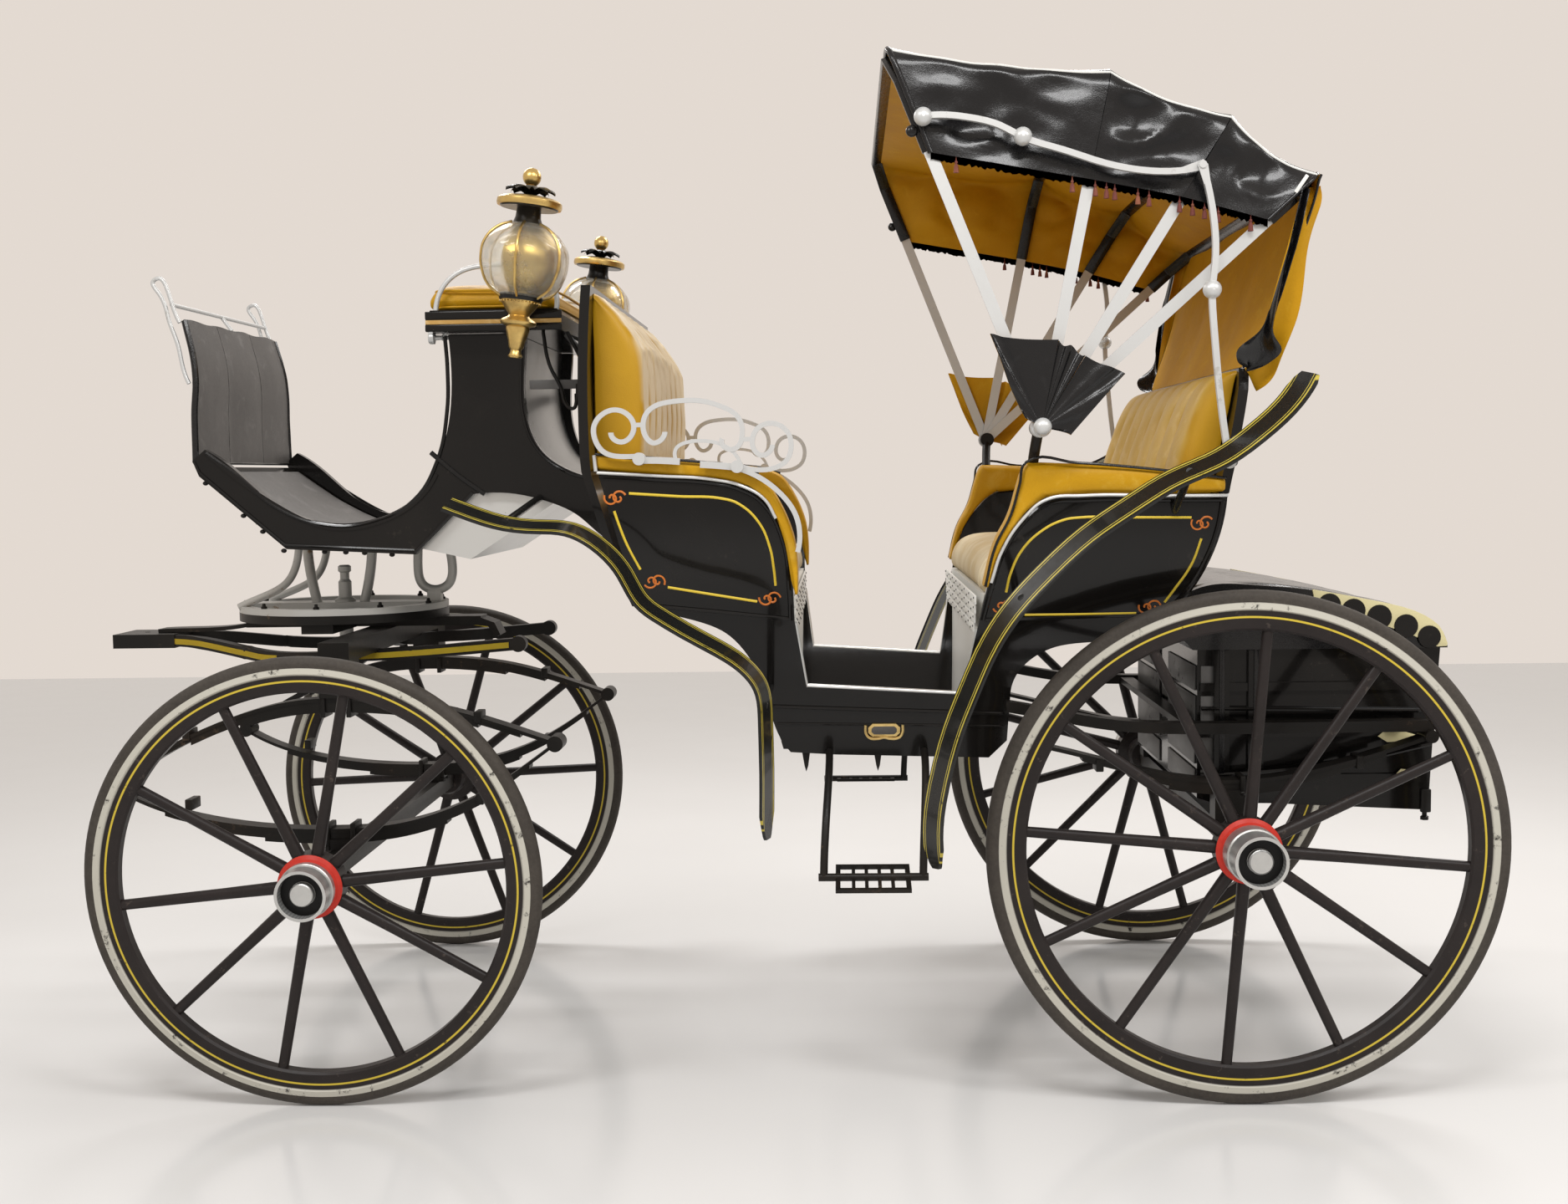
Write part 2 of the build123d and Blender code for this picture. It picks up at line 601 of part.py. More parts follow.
def axle(x, half_track, radius, camber, reach):
    c = math.radians(camber)
    pieces = []
    for side in (-1, 1):
        place = wheel_place(x, half_track, radius, camber, side)
        pieces.append(place * Pos(0, 0, -110) * Cylinder(
            AXLE_ARM_RADIUS, 110 + reach, align=(Align.CENTER, Align.CENTER, Align.MIN)))
    height = (radius - TYRE_HALF_WIDTH) * math.cos(c) + TYRE_HALF_WIDTH
    end = half_track - 102
    lift = 102 * math.sin(c)
    pieces.append(box(x - 22, x + 22, -end, end, height + lift - 22, height + lift + 22))
    return pieces


def leaf(points, thick, y_low, y_high):
    """One spring leaf: the curve is its top edge."""
    low = [(x, z - thick) for x, z in points]
    face = outline(("curve", points), ("line", [points[-1], low[-1]]), ("curve", low[::-1]))
    return prism(face, y_low, y_high)


def leaf_stack(points, leaves, y_low, y_high):
    """Leaves laid under one another, each shorter than the last."""
    pieces = [leaf(points, 9, y_low, y_high)]
    for k in range(1, leaves):
        under = leaf([(x, z - 8.5 * k) for x, z in points], 9, y_low + 2, y_high - 2)
        pieces.append(under & box(points[k][0], points[-1 - k][0], y_low, y_high, 0, 2000))
    return pieces


def front_springs():
    y_low, y_high = -476, -426
    lower = [(-1640, 709), (-1520, 652), (-1400, 622), (-1280, 606), (-1115, 600), (-960, 612), (-840, 645),
             (-720, 704), (-640, 758), (-577, 804)]
    upper = [(-1640, 709), (-1560, 770), (-1450, 830), (-1330, 877), (-1200, 908), (-1100, 914),
             (-990, 910), (-874, 895), (-760, 866), (-660, 833), (-577, 804)]
    pieces = leaf_stack(lower, 4, y_low, y_high) + leaf_stack(upper, 4, y_low, y_high)
    for x, z in [(-1640, 705), (-577, 800)]:
        pieces.append(rod((x, y_low - 6, z), (x, y_high + 6, z), 19))
    pieces.append(box(-1128, -1066, y_low - 4, y_high + 4, 549, 575))
    return both(fuse(pieces))


def bed():
    pieces = [
        box(-1462, -840, -38, 38, 1046, 1069.9),
        box(-1247, -1167, -250, 250, 1046, 1069.9),
        box(-1134, -1060, -484, 484, 915, 1046),
    ]
    notch = outline(("line", [(-1180, 915), (-1020, 915), (-1020, 1002), (-1180, 1002)]))
    block = fuse(pieces) - prism(notch, -400, 400)
    block = block + box(-1134, -1060, -400, 400, 1000, 1046)
    ears = [prism(outline(("line", [(-850, 1069), (-805, 1052), (-790, 1020), (-800, 1015), (-822, 1042),
                                    (-850, 1046)])), -38, 38)]
    block = fuse([block] + ears)
    hole = Pos(KINGPIN_X, 0, 1040) * Cylinder(KINGPIN_RADIUS + 0.3, 200)
    return block - hole


def futchells():
    path = [(-1650, -56, 1016), (-1560, -88, 1012), (-1420, -150, 992), (-1330, -190, 983),
            (-1150, -215, 986), (-950, -220, 996), (-712, -220, 1014)]
    spline = Spline(*path)
    start = Plane(origin=spline @ 0, x_dir=(0, 1, 0), z_dir=spline % 0)
    arm = sweep(start * Rectangle(26, 30), path=spline)
    end = Pos(-706, -220, 1014) * Rot(90, 0, 0) * Cylinder(20, 30)
    stay = strap([(-1700, 1039), (-1600, 1041), (-1500, 1046), (-1462, 1052)], 0, 60, 10)
    return fuse(both(arm + end) + [stay])


def pole_socket():
    shell = box(FRONT_TIP_X, -1640, -75, 75, 998, 1034)
    slot = box(FRONT_TIP_X - 1, -1668, -52, 52, 1004, 1028)
    pin = Pos(-1740, 0, 1016) * Cylinder(8, 60)
    plates = shell - slot - pin
    return plates


def ring(z_low, z_high):
    disc = Pos(KINGPIN_X, 0, (z_low + z_high) / 2) * (
        Cylinder(RING_RADIUS, z_high - z_low) - Cylinder(RING_RADIUS - RING_WIDTH, z_high - z_low + 2))
    return disc


def upper_gear():
    """Upper ring, kingpin and the iron stays that carry the footboard on them."""
    pieces = [ring(RING_TOP_Z, RING_TOP_Z + 16)]
    pieces.append(box(KINGPIN_X - 250, KINGPIN_X + 250, -40, 40, RING_TOP_Z, RING_TOP_Z + 18))
    pin = Cylinder(KINGPIN_RADIUS, 98, align=(Align.CENTER, Align.CENTER, Align.MIN))
    pieces.append(Pos(KINGPIN_X, 0, 1012) * pin)
    profile = [(0, 1108), (27, 1108), (27, 1116), (17, 1121), (17, 1162), (12, 1169), (12, 1186), (17, 1190),
               (17, 1202), (12, 1206), (0, 1206)]
    face = make_face(Polyline(*[(r, 0, z) for r, z in profile], close=True))
    pieces.append(Pos(KINGPIN_X, 0, 0) * revolve(face, axis=Axis.Z))
    pieces.append(Pos(KINGPIN_X, 0, 1006) * Cylinder(27, 14))
    front_leg = [(-1300, 0, 1340), (-1304, 0, 1262), (-1298, 0, 1190), (-1288, 0, 1135), (-1282, 0, 1108)]
    rear_leg = [(-1132, 0, 1274), (-1138, 0, 1190), (-1148, 0, 1140), (-1156, 0, 1108)]
    pieces += [wire(front_leg, 13), wire(rear_leg, 13)]
    for y in (-120, 120):
        stay = [(-1296, y, 1340), (-1290, y, 1240), (-1322, y, 1168), (-1374, y, 1137), (-1448, y, 1106)]
        pieces.append(wire(stay, 10))
    back = [(-1012, 0, 1274), (-1011, 0, 1190), (-998, 0, 1150), (-965, 0, 1138), (-932, 0, 1152),
            (-920, 0, 1200), (-932, 0, 1274)]
    pieces.append(wire(back, 12))
    pieces.append(box(-986, -950, -14, 14, RING_TOP_Z + 10, 1136))
    return fuse(pieces)


def rear_gear():
    """Rear axle, its two leaf springs, the rails over them and the shackles."""
    pieces = axle(REAR_AXLE_X, REAR_HALF_TRACK, REAR_RADIUS, 0.0, 60)
    y_low, y_high = -496, -446
    main = [(560, 792), (660, 768), (766, 740), (860, 718), (960, 705), (1040, 705), (1140, 716),
            (1256, 742), (1360, 772), (1465, 807)]
    pieces_near = leaf_stack(main, 4, y_low, y_high)
    pieces_near.append(box(966, 1034, y_low - 4, y_high + 4, 600, 680))
    rail = [(485, 893), (600, 871), (720, 849), (850, 839), (1100, 837), (1280, 838), (1470, 839)]
    pieces_near.append(leaf(rail, 26, -491, -451))
    for x, z in [(566, 786), (1462, 802)]:
        pieces_near.append(rod((x, y_low - 6, z), (x, y_high + 6, z), 15))
    pieces_near.append(rod((566, -471, 786), (580, -471, 856), 9))
    pieces_near.append(rod((1462, -471, 802), (1462, -471, 826), 12))
    pieces += both(fuse(pieces_near))
    pieces.append(box(900, 936, -471, 471, 816, 832))
    for x in (1060, 1400):
        pieces += both(box(x - 25, x + 25, -475, -395, 816, 832))
    return fuse(list(flat(pieces)))


def trunk():
    body = outline(("line", [(944, 1000), (944, 645), (980, 632), (1118, 630), (1476, 612), (1490, 640),
                             (1500, 830), (1512, 1000)]))
    chest = prism(body, -400, 400)
    slats = []
    for x in (1000, 1080):
        slats += both(box(x - 18, x + 18, -412, -400, 640, 998))
    for z in (690, 800, 910):
        slats += both(box(950, 1480, -408, -400, z - 10, z + 10))
    return fuse([chest] + slats)


def trunk_cover():
    body = outline(
        ("curve", [(882, 1050), (880, 1100), (940, 1146), (1076, 1152), (1200, 1140), (1310, 1119),
                   (1430, 1092), (1500, 1052), (1522, 1000.3)]),
        ("line", [(1522, 1000.3), (930, 1000.3), (882, 1050)]),
    )
    return prism(body, -420, 420)


# Hood
def on_pivot(angle, radius):
    a = math.radians(angle)
    return PIVOT_X + radius * math.cos(a), PIVOT_Z + radius * math.sin(a)


def bow(angle, roof, low, foot_y):
    """A flat-iron hoop: two slats from the pivots and a bar across under the roof."""
    outer = [(-foot_y, 0), (-SLAT_TOP_HALF_WIDTH, roof - 70), (-SLAT_TOP_HALF_WIDTH + 70, roof)]
    t = SLAT_THICK
    inner = [(-SLAT_TOP_HALF_WIDTH + 70, roof - t), (-SLAT_TOP_HALF_WIDTH + t, roof - 70), (-foot_y + t, 0)]
    half = outer + [(0, roof), (0, roof - t)] + inner
    left = make_face(Polyline(*[(y, r, 0) for y, r in half], close=True))
    right = mirror(left, about=Plane.YZ)
    hoop = extrude(left + right, amount=SLAT_WIDTH / 2, both=True)
    for side in (-1, 1):
        centre = side * (foot_y - t / 2)
        disc = Pos(centre, 0, 0) * Rot(0, 90, 0) * Cylinder(22, t)
        hoop = hoop + disc
        hoop = hoop - Pos(centre, 0, 0) * Rot(0, 90, 0) * Cylinder(9, t + 4)
    a = math.radians(angle)
    place = Plane(origin=(PIVOT_X, 0, PIVOT_Z), x_dir=(0, 1, 0), z_dir=(math.sin(a), 0, -math.cos(a)))
    return place, hoop


def make_bow(name):
    angle, roof, low, foot_y = BOWS[name]
    place, hoop = bow(angle, roof, low, foot_y)
    return place * hoop


def lift(first, second):
    """How far the roof leather has to stand over the first bow to clear its edge by 0.3 mm."""
    a0, r0, _, _ = BOWS[first]
    a1, r1, _, _ = BOWS[second]
    d = math.radians(abs(a1 - a0))
    slope = (r1 * math.cos(d) - r0) / (r1 * math.sin(d))
    return 0.3 - SLAT_WIDTH / 2 * min(slope, 0)


def hood_panel(first, second, flap_first, flap_second):
    """Leather between two bows: roof, both hanging sides and the small piece at each pivot."""
    a0, r0, l0, _ = BOWS[first]
    a1, r1, l1, _ = BOWS[second]
    gap = 0.12
    r0 += lift(first, second)
    r1 += lift(second, first)
    corners = [
        on_pivot(a0 + gap, r0 + LEATHER),
        on_pivot(a1 - gap, r1 + LEATHER),
        on_pivot(a1 - gap, l1),
        on_pivot(a0 + gap, l0),
    ]
    top0, top1 = Vector(*on_pivot(a0, r0)), Vector(*on_pivot(a1, r1))
    along = (top1 - top0).normalized() * 60
    top0, top1 = top0 - along, top1 + along
    inner = [(top0.X, top0.Y), (top1.X, top1.Y), on_pivot(a1 + 3, l1 - 90), on_pivot(a0 - 3, l0 - 90)]
    shell = prism(outline(("line", corners)), -HOOD_HALF_WIDTH, HOOD_HALF_WIDTH)
    hollow = prism(outline(("line", inner)), -HOOD_HALF_WIDTH + LEATHER, HOOD_HALF_WIDTH - LEATHER)
    side = outline(("line", [on_pivot(a, r) for a, r in flap_first + flap_second]))
    flap = prism(side, -731, -727)
    skin = shell - hollow
    if second == "bow_front":
        stud = on_pivot(STUD_ANGLE, STUD_RADIUS)
        skin -= rod((stud[0], -740, stud[1]), (stud[0], 740, stud[1]), STUD_PIN + 3)
    return [skin] + both(flap)


def hood_posts():
    pin = rod((PIVOT_X, -670, PIVOT_Z), (PIVOT_X, -735, PIVOT_Z), 8)
    head = rod((PIVOT_X, -688, PIVOT_Z), (PIVOT_X, -655, PIVOT_Z), 20)
    ball = Pos(PIVOT_X, -745, PIVOT_Z) * Sphere(19)
    post = wire([(534, -612, 1440), (536, -640, 1475), (540, -668, 1512)], 12)
    foot = rod((976, -622, FOOT[1]), (FOOT[0], -722, FOOT[1]), 10)
    foot_pin = rod((FOOT[0], -716, FOOT[1]), (FOOT[0], -751, FOOT[1]), 6)
    return both(fuse([pin, head, ball, post])), both(fuse([foot, foot_pin]))


def ball(x, z):
    """A knob on the landau irons, its poles turned outwards."""
    return Pos(x, -IRON_Y, z) * Rot(90, 0, 0) * Sphere(20)


def iron_lug(points, y_outer, thick):
    return prism(outline(("line", points)), y_outer, y_outer + thick)


def irons_upper():
    """From the stud on the front bow to the elbow; the two irons' lugs lie side by side."""
    stud = on_pivot(STUD_ANGLE, STUD_RADIUS)
    path = [stud, (334, 2184), (384, 2178), (454, 2159), (501, 2134), (579, 2108), (661, 2080), (767, 2058),
            (845, 2058)]
    x, z = ELBOW
    lug = [(x - 46, z - 18), (x, z - 11), (x + 11, z), (x, z + 11), (x - 46, z - 5)]
    slat_face = 722 - 22 * STUD_RADIUS / 804
    return both(fuse([
        flat_bar(path, IRON_BAR, -IRON_Y, 2 * IRON_BAR),
        ball(stud[0], stud[1]),
        ball(501, 2136),
        iron_lug(lug, -IRON_Y + 2, 4),
        rod((stud[0], -IRON_Y, stud[1]), (stud[0], -slat_face - 0.6, stud[1]), STUD_PIN),
    ]))


def irons_lower():
    """From the elbow down to the pin over the rear arm."""
    path = [(889, 2036), (897, 2000), (906, 1940), (908, 1873), (902, 1807), (905, 1735), (914, 1631),
            (930, 1500),
            FOOT]
    x, z = ELBOW
    lug = [(x - 11, z), (x, z + 11), (x + 11, z), (x + 17, z - 42), (x + 3, z - 42)]
    eye = rod((FOOT[0], -IRON_Y - 6, FOOT[1]), (FOOT[0], -IRON_Y + 6, FOOT[1]), 14)
    bore = rod((FOOT[0], -IRON_Y - 12, FOOT[1]), (FOOT[0], -IRON_Y + 12, FOOT[1]), 7)
    iron = fuse([
        flat_bar(path, IRON_BAR, -IRON_Y, 2 * IRON_BAR),
        ball(902, 1807),
        iron_lug(lug, -IRON_Y - 6, 4),
        rod((x, -IRON_Y - 6, z), (x, -IRON_Y - 9, z), 8),
        eye,
    ])
    return both(iron - bore)


def back_curtain():
    face = outline(
        ("curve", [(1138, 2030), (1112, 1900), (1066, 1760), (1015, 1648.7)]),
        ("line", [(1015, 1648.7), (1020, 1648.2)]),
        ("curve", [(1020, 1648.2), (1071, 1758), (1117, 1898), (1143, 2030)]),
    )
    narrowing = across([(-560, 1640), (560, 1640), (625, 1760), (690, 1930), (702, 2040), (-702, 2040),
                        (-690, 1930), (-625, 1760)], 900, 1300)
    return prism(face, -702, 702) & narrowing


# What gives way where two pieces of the drawing share room: the first is cut by the second.
TRIMS = [
    ("dash", "boot_sides"), ("boot_sides", "front_board"), ("boot_sides", "tub_sides"),
    ("wire_rails", "dash"), ("wire_rails", "seat_board"), ("wire_rails", "boot_sides"),
    ("upper_gear", "footboard"), ("upper_gear", "boot_pan"), ("front_arm_pads", "front_sides"),
    ("rear_arm_pads", "rear_sides"), ("rear_arm_pads", "rear_back"), ("front_wings", "tub_sides"),
    ("front_wings", "boot_sides"), ("rear_wings", "rear_sides"), ("rear_wings", "tub_sides"),
    ("futchells", "pole_socket"), ("futchells", "bed"), ("hood_posts", "rear_arm_pads"),
    ("hood_posts", "rear_back"), ("rear_gear", "trunk"), ("rear_gear", "tub_sides"),
    ("steps", "tub_sides"), ("lamps", "seat_board"), ("boot_pan", "boot_sides"),
    ("boot_pan", "front_board"), ("rear_back_cushion", "rear_back"),
]


def main():
    os.makedirs("parts", exist_ok=True)
    front_pads, rear_pads = arm_pads()
    front_back, rear_back_pad, front_seat, rear_seat = seats()
    front_box, rear_box = seat_boxes()
    front_wings, rear_wings = wings()
    parts = {
        "boot_sides": boot_sides(), "footboard": footboard(), "dash": dash(), "seat_board": seat_board(),
        "box_cushion": box_cushion(), "wire_rails": wire_rails(), "boot_pan": boot_pan(),
        "front_board": front_board(), "lamps": lamps(), "lamp_glasses": lamp_glasses(),
        "front_sides": front_sides(), "tub_sides": tub_sides(), "tub_floor": tub_floor(),
        "rear_sides": rear_sides(), "front_arm_pads": front_pads, "rear_arm_pads": rear_pads,
        "rear_back": rear_back(), "front_back_cushion": front_back, "rear_back_cushion": rear_back_pad,
        "front_seat_cushion": front_seat, "rear_seat_cushion": rear_seat, "front_seat_box": front_box,
        "rear_seat_box": rear_box, "scroll_rails": scroll_rails(), "front_wings": front_wings,
        "rear_wings": rear_wings, "steps": steps(), "upper_gear": upper_gear(), "rear_gear": rear_gear(),
        "trunk": trunk(), "trunk_cover": trunk_cover(), "hood_posts": hood_posts(),
        "lower_ring": ring(LOWER_RING_Z, RING_TOP_Z - 0.3), "bed": bed(),
        "front_axle": axle(FRONT_AXLE_X, FRONT_HALF_TRACK, FRONT_RADIUS, FRONT_CAMBER, 55),
        "front_springs": front_springs(), "futchells": futchells(), "pole_socket": pole_socket(),
        "hood_roof_front": hood_panel("bow_second", "bow_front", [(79, 14), (79, 190)],
                                      [(113, 215), (119, 225), (126, 120), (150, 14), (115, 14.6)]),
        "hood_roof_middle": hood_panel("bow_third", "bow_second", [(58.5, 14), (58.5, 178)],
                                       [(78.5, 188), (78.5, 14)]),
        "hood_roof_rear": hood_panel("bow_rear", "bow_third", [(-12, 14), (-10, 66), (31, 208), (42, 196)],
                                     [(58, 178), (58, 14), (23, 15)]),
        "back_curtain": back_curtain(), "irons_upper": irons_upper(), "irons_lower": irons_lower(),
    }
    for end, radius, count, reach, x, track, camber in [
        ("front", FRONT_RADIUS, FRONT_SPOKES, FRONT_CAP_REACH, FRONT_AXLE_X, FRONT_HALF_TRACK,
         FRONT_CAMBER),
        ("rear", REAR_RADIUS, REAR_SPOKES, REAR_CAP_REACH, REAR_AXLE_X, REAR_HALF_TRACK, 0.0),
    ]:
        for side, label in ((-1, "near"), (1, "far")):
            tyre, wheel = wheel_parts(radius, count, reach, -side * SPOKE_TURN[end + "_" + label])
            place = wheel_place(x, track, radius, camber, side)
            parts["tyre_" + end + "_" + label] = place * tyre
            parts["wheel_" + end + "_" + label] = place * wheel
    for name in BOWS:
        parts[name] = make_bow(name)
    solids = {name: joined(piece) for name, piece in parts.items()}
    for name, tool in TRIMS:
        solids[name] = trimmed(solids[name], solids[tool])
    for name, pieces in solids.items():
        save(name, pieces)


main()
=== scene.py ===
"""Looks of a horse drawn carriage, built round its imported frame.

Sizes of pieces are carriage millimetres: X to the rear, Y to the far side, Z up from the floor.
``place`` turns them into the shared frame, in metres.
"""

from __future__ import annotations

import json
import logging
import math
from dataclasses import dataclass, field
from enum import Enum
from typing import Any, Callable, Iterable, Sequence, Union

import bmesh
import bpy
from mathutils import Matrix, Vector, noise

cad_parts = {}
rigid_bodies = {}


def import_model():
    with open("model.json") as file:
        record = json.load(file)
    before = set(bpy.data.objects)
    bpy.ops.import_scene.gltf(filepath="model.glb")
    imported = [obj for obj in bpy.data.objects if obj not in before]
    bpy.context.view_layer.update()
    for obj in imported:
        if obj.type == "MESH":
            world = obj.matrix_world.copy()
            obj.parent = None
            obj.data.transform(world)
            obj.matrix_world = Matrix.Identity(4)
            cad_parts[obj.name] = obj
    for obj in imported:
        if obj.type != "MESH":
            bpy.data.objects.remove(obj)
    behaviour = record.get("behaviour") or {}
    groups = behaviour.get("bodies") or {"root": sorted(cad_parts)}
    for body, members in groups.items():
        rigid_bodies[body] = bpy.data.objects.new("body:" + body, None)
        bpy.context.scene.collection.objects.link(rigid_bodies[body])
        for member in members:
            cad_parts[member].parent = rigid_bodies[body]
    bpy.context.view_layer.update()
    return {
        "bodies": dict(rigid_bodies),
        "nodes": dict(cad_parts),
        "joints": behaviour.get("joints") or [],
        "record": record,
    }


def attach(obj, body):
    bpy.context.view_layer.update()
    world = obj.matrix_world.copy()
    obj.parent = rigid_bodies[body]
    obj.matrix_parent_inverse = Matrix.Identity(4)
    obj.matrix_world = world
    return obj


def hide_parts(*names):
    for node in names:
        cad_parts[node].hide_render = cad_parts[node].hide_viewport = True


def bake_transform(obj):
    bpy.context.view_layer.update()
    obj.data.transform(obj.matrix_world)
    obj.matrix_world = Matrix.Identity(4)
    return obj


LOG = logging.getLogger("carriage")
SHIFT_X = 111.5
Colour = tuple[float, float, float]
Spot = tuple[float, float, float]
Plan = Sequence[tuple[float, float]]
Places = Sequence[Sequence[float]]
Mesh = bmesh.types.BMesh
Piece = bpy.types.Object
Material = bpy.types.Material
Socket = bpy.types.NodeSocket


def place(x: float, y: float, z: float) -> Vector:
    """Turns carriage millimetres into the shared frame, in metres."""
    return Vector(((x + SHIFT_X) / 1000, y / 1000, z / 1000))


class Side(Enum):
    """The two sides of the carriage, as the sign of Y."""

    NEAR = -1
    FAR = 1


class Slot(Enum):
    """Material slots of the record."""

    BLACK = "black_gloss"
    IRON = "black_iron"
    SILVER = "silver_paint"
    MUSTARD = "mustard_leather"
    TAN = "tan_cloth"
    HOOD = "black_leather"
    BRASS = "brass"
    GLASS = "clear_glass"
    TRUNK = "trunk_panel"
    WHITE = "white_wood"


class Value:
    """A number that changes over a surface; operators add Math nodes."""

    def __init__(self, maker: Maker, socket: Socket) -> None:
        """Keeps the socket and the maker whose tree it belongs to."""
        self.maker = maker
        self.socket = socket

    def __add__(self, other: Number) -> Value:
        """Adds."""
        return self.maker.math("ADD", self, other)

    def __sub__(self, other: Number) -> Value:
        """Subtracts."""
        return self.maker.math("SUBTRACT", self, other)

    def __rsub__(self, other: Number) -> Value:
        """Subtracts this from a number."""
        return self.maker.math("SUBTRACT", other, self)

    def __mul__(self, other: Number) -> Value:
        """Multiplies."""
        return self.maker.math("MULTIPLY", self, other)

    def __abs__(self) -> Value:
        """The size without its sign."""
        return self.maker.math("ABSOLUTE", self)

    __radd__ = __add__
    __rmul__ = __mul__

    def sine(self) -> Value:
        """Sine of the value in radians."""
        return self.maker.math("SINE", self)

    def smooth(self, low: float, high: float) -> Value:
        """Goes smoothly from 0 at low to 1 at high."""
        node = self.maker.node(
            "ShaderNodeMapRange", {"interpolation_type": "SMOOTHSTEP"},
            {"Value": self, "From Min": low, "From Max": high},
        )
        return Value(self.maker, node.outputs["Result"])

    def band(self, centre: float, half: float, soft: float = 0.0006) -> Value:
        """One within half of centre and zero outside, with soft edges."""
        return 1 - abs(self - centre).smooth(half - soft, half + soft)


Number = Union[Value, float, int]
Feed = Union[Value, Socket, float, int, Sequence[float]]


class Maker:
    """Builds one material's node tree."""

    def __init__(self, name: str) -> None:
        """Starts an empty material with a principled shader.

        Args:
            name: Name of the material.
        """
        self.material = bpy.data.materials.new(name)
        self.material.use_nodes = True
        self.tree = self.material.node_tree
        self.tree.nodes.clear()
        self.output = self.tree.nodes.new("ShaderNodeOutputMaterial")
        self.shader = self.tree.nodes.new("ShaderNodeBsdfPrincipled")
        self.tree.links.new(self.shader.outputs[0], self.output.inputs["Surface"])
        self.coords = self.node("ShaderNodeTexCoord").outputs["Object"]

    def node(self, kind: str, settings: dict[str, Any] | None = None,
             feeds: dict[str | int, Feed] | None = None) -> bpy.types.Node:
        """Adds a node, sets it and feeds its sockets.

        Args:
            kind: Type of the node.
            settings: Properties set before anything is linked.
            feeds: Values or links by socket name or number.

        Returns:
            The new node.
        """
        node = self.tree.nodes.new(kind)
        for key, value in (settings or {}).items():
            setattr(node, key, value)
        for key, value in (feeds or {}).items():
            self.feed(node.inputs[key], value)
        return node

    def feed(self, socket: Socket, value: Feed) -> None:
        """Links or sets one socket.

        Args:
            socket: The input socket.
            value: A value, a link, a number or a vector.
        """
        if isinstance(value, Value):
            self.tree.links.new(value.socket, socket)
        elif isinstance(value, Socket):
            self.tree.links.new(value, socket)
        elif isinstance(value, (int, float)):
            socket.default_value = value
        elif len(value) == 3 and socket.type == "RGBA":
            socket.default_value = (*value, 1.0)
        else:
            socket.default_value = value

    def math(self, operation: str, first: Number, second: Number | None = None) -> Value:
        """Adds a Math node.

        Args:
            operation: Name of the operation.
            first: First operand.
            second: Second operand, where there is one.

        Returns:
            The result.
        """
        feeds: dict[str | int, Feed] = {0: first}
        if second is not None:
            feeds[1] = second
        return Value(self, self.node("ShaderNodeMath", {"operation": operation}, feeds).outputs[0])

    def axes(self, coords: Socket | None = None) -> tuple[Value, Value, Value]:
        """Splits coordinates into X, Y and Z."""
        node = self.node("ShaderNodeSeparateXYZ", None, {0: coords or self.coords})
        return Value(self, node.outputs[0]), Value(self, node.outputs[1]), Value(self, node.outputs[2])

    def turned(self, centre: Sequence[float], angles: Sequence[float]) -> Socket:
        """Coordinates counted from a centre, in axes turned by angles."""
        node = self.node("ShaderNodeMapping", {"vector_type": "TEXTURE"},
                         {"Vector": self.coords, "Location": centre, "Rotation": angles})
        return node.outputs[0]

    def stretched(self, scale: Sequence[float]) -> Socket:
        """Coordinates multiplied by a scale on each axis."""
        return self.node("ShaderNodeMapping", None, {"Vector": self.coords, "Scale": scale}).outputs[0]

    def noise(self, scale: float, detail: float = 3.0, rough: float = 0.55,
              coords: Socket | None = None, warp: float = 0.0) -> Value:
        """Noise from 0 to 1.

        Args:
            scale: Waves to the metre.
            detail: Octaves.
            rough: Strength of the fine octaves.
            coords: Where it is read; the object's own if left out.
            warp: How far it is folded on itself.

        Returns:
            The noise.
        """
        node = self.node("ShaderNodeTexNoise", None, {
            "Vector": coords or self.coords, "Scale": scale, "Detail": detail,
            "Roughness": rough, "Distortion": warp,
        })
        return Value(self, node.outputs[0])

    def cells(self, scale: float) -> Value:
        """Distance in a pattern of cells."""
        node = self.node("ShaderNodeTexVoronoi", None, {"Vector": self.coords, "Scale": scale})
        return Value(self, node.outputs["Distance"])

    def mix(self, factor: Number, low: Feed, high: Feed) -> Socket:
        """Mixes two colours."""
        node = self.node("ShaderNodeMix", {"data_type": "RGBA"}, {"Factor": factor})
        self.feed(node.inputs[6], low)
        self.feed(node.inputs[7], high)
        return node.outputs[2]

    def bump(self, height: Value, strength: float, distance: float = 0.002) -> None:
        """Feeds the shader's normal with a bump."""
        node = self.node("ShaderNodeBump", None,
                         {"Height": height, "Strength": strength, "Distance": distance})
        self.tree.links.new(node.outputs[0], self.shader.inputs["Normal"])

    def surface(self, **sockets: Feed) -> Material:
        """Feeds the principled shader.

        Args:
            **sockets: Values by socket name, with underscores for spaces.

        Returns:
            The finished material.
        """
        for key, value in sockets.items():
            self.feed(self.shader.inputs[key.replace("_", " ")], value)
        return self.material


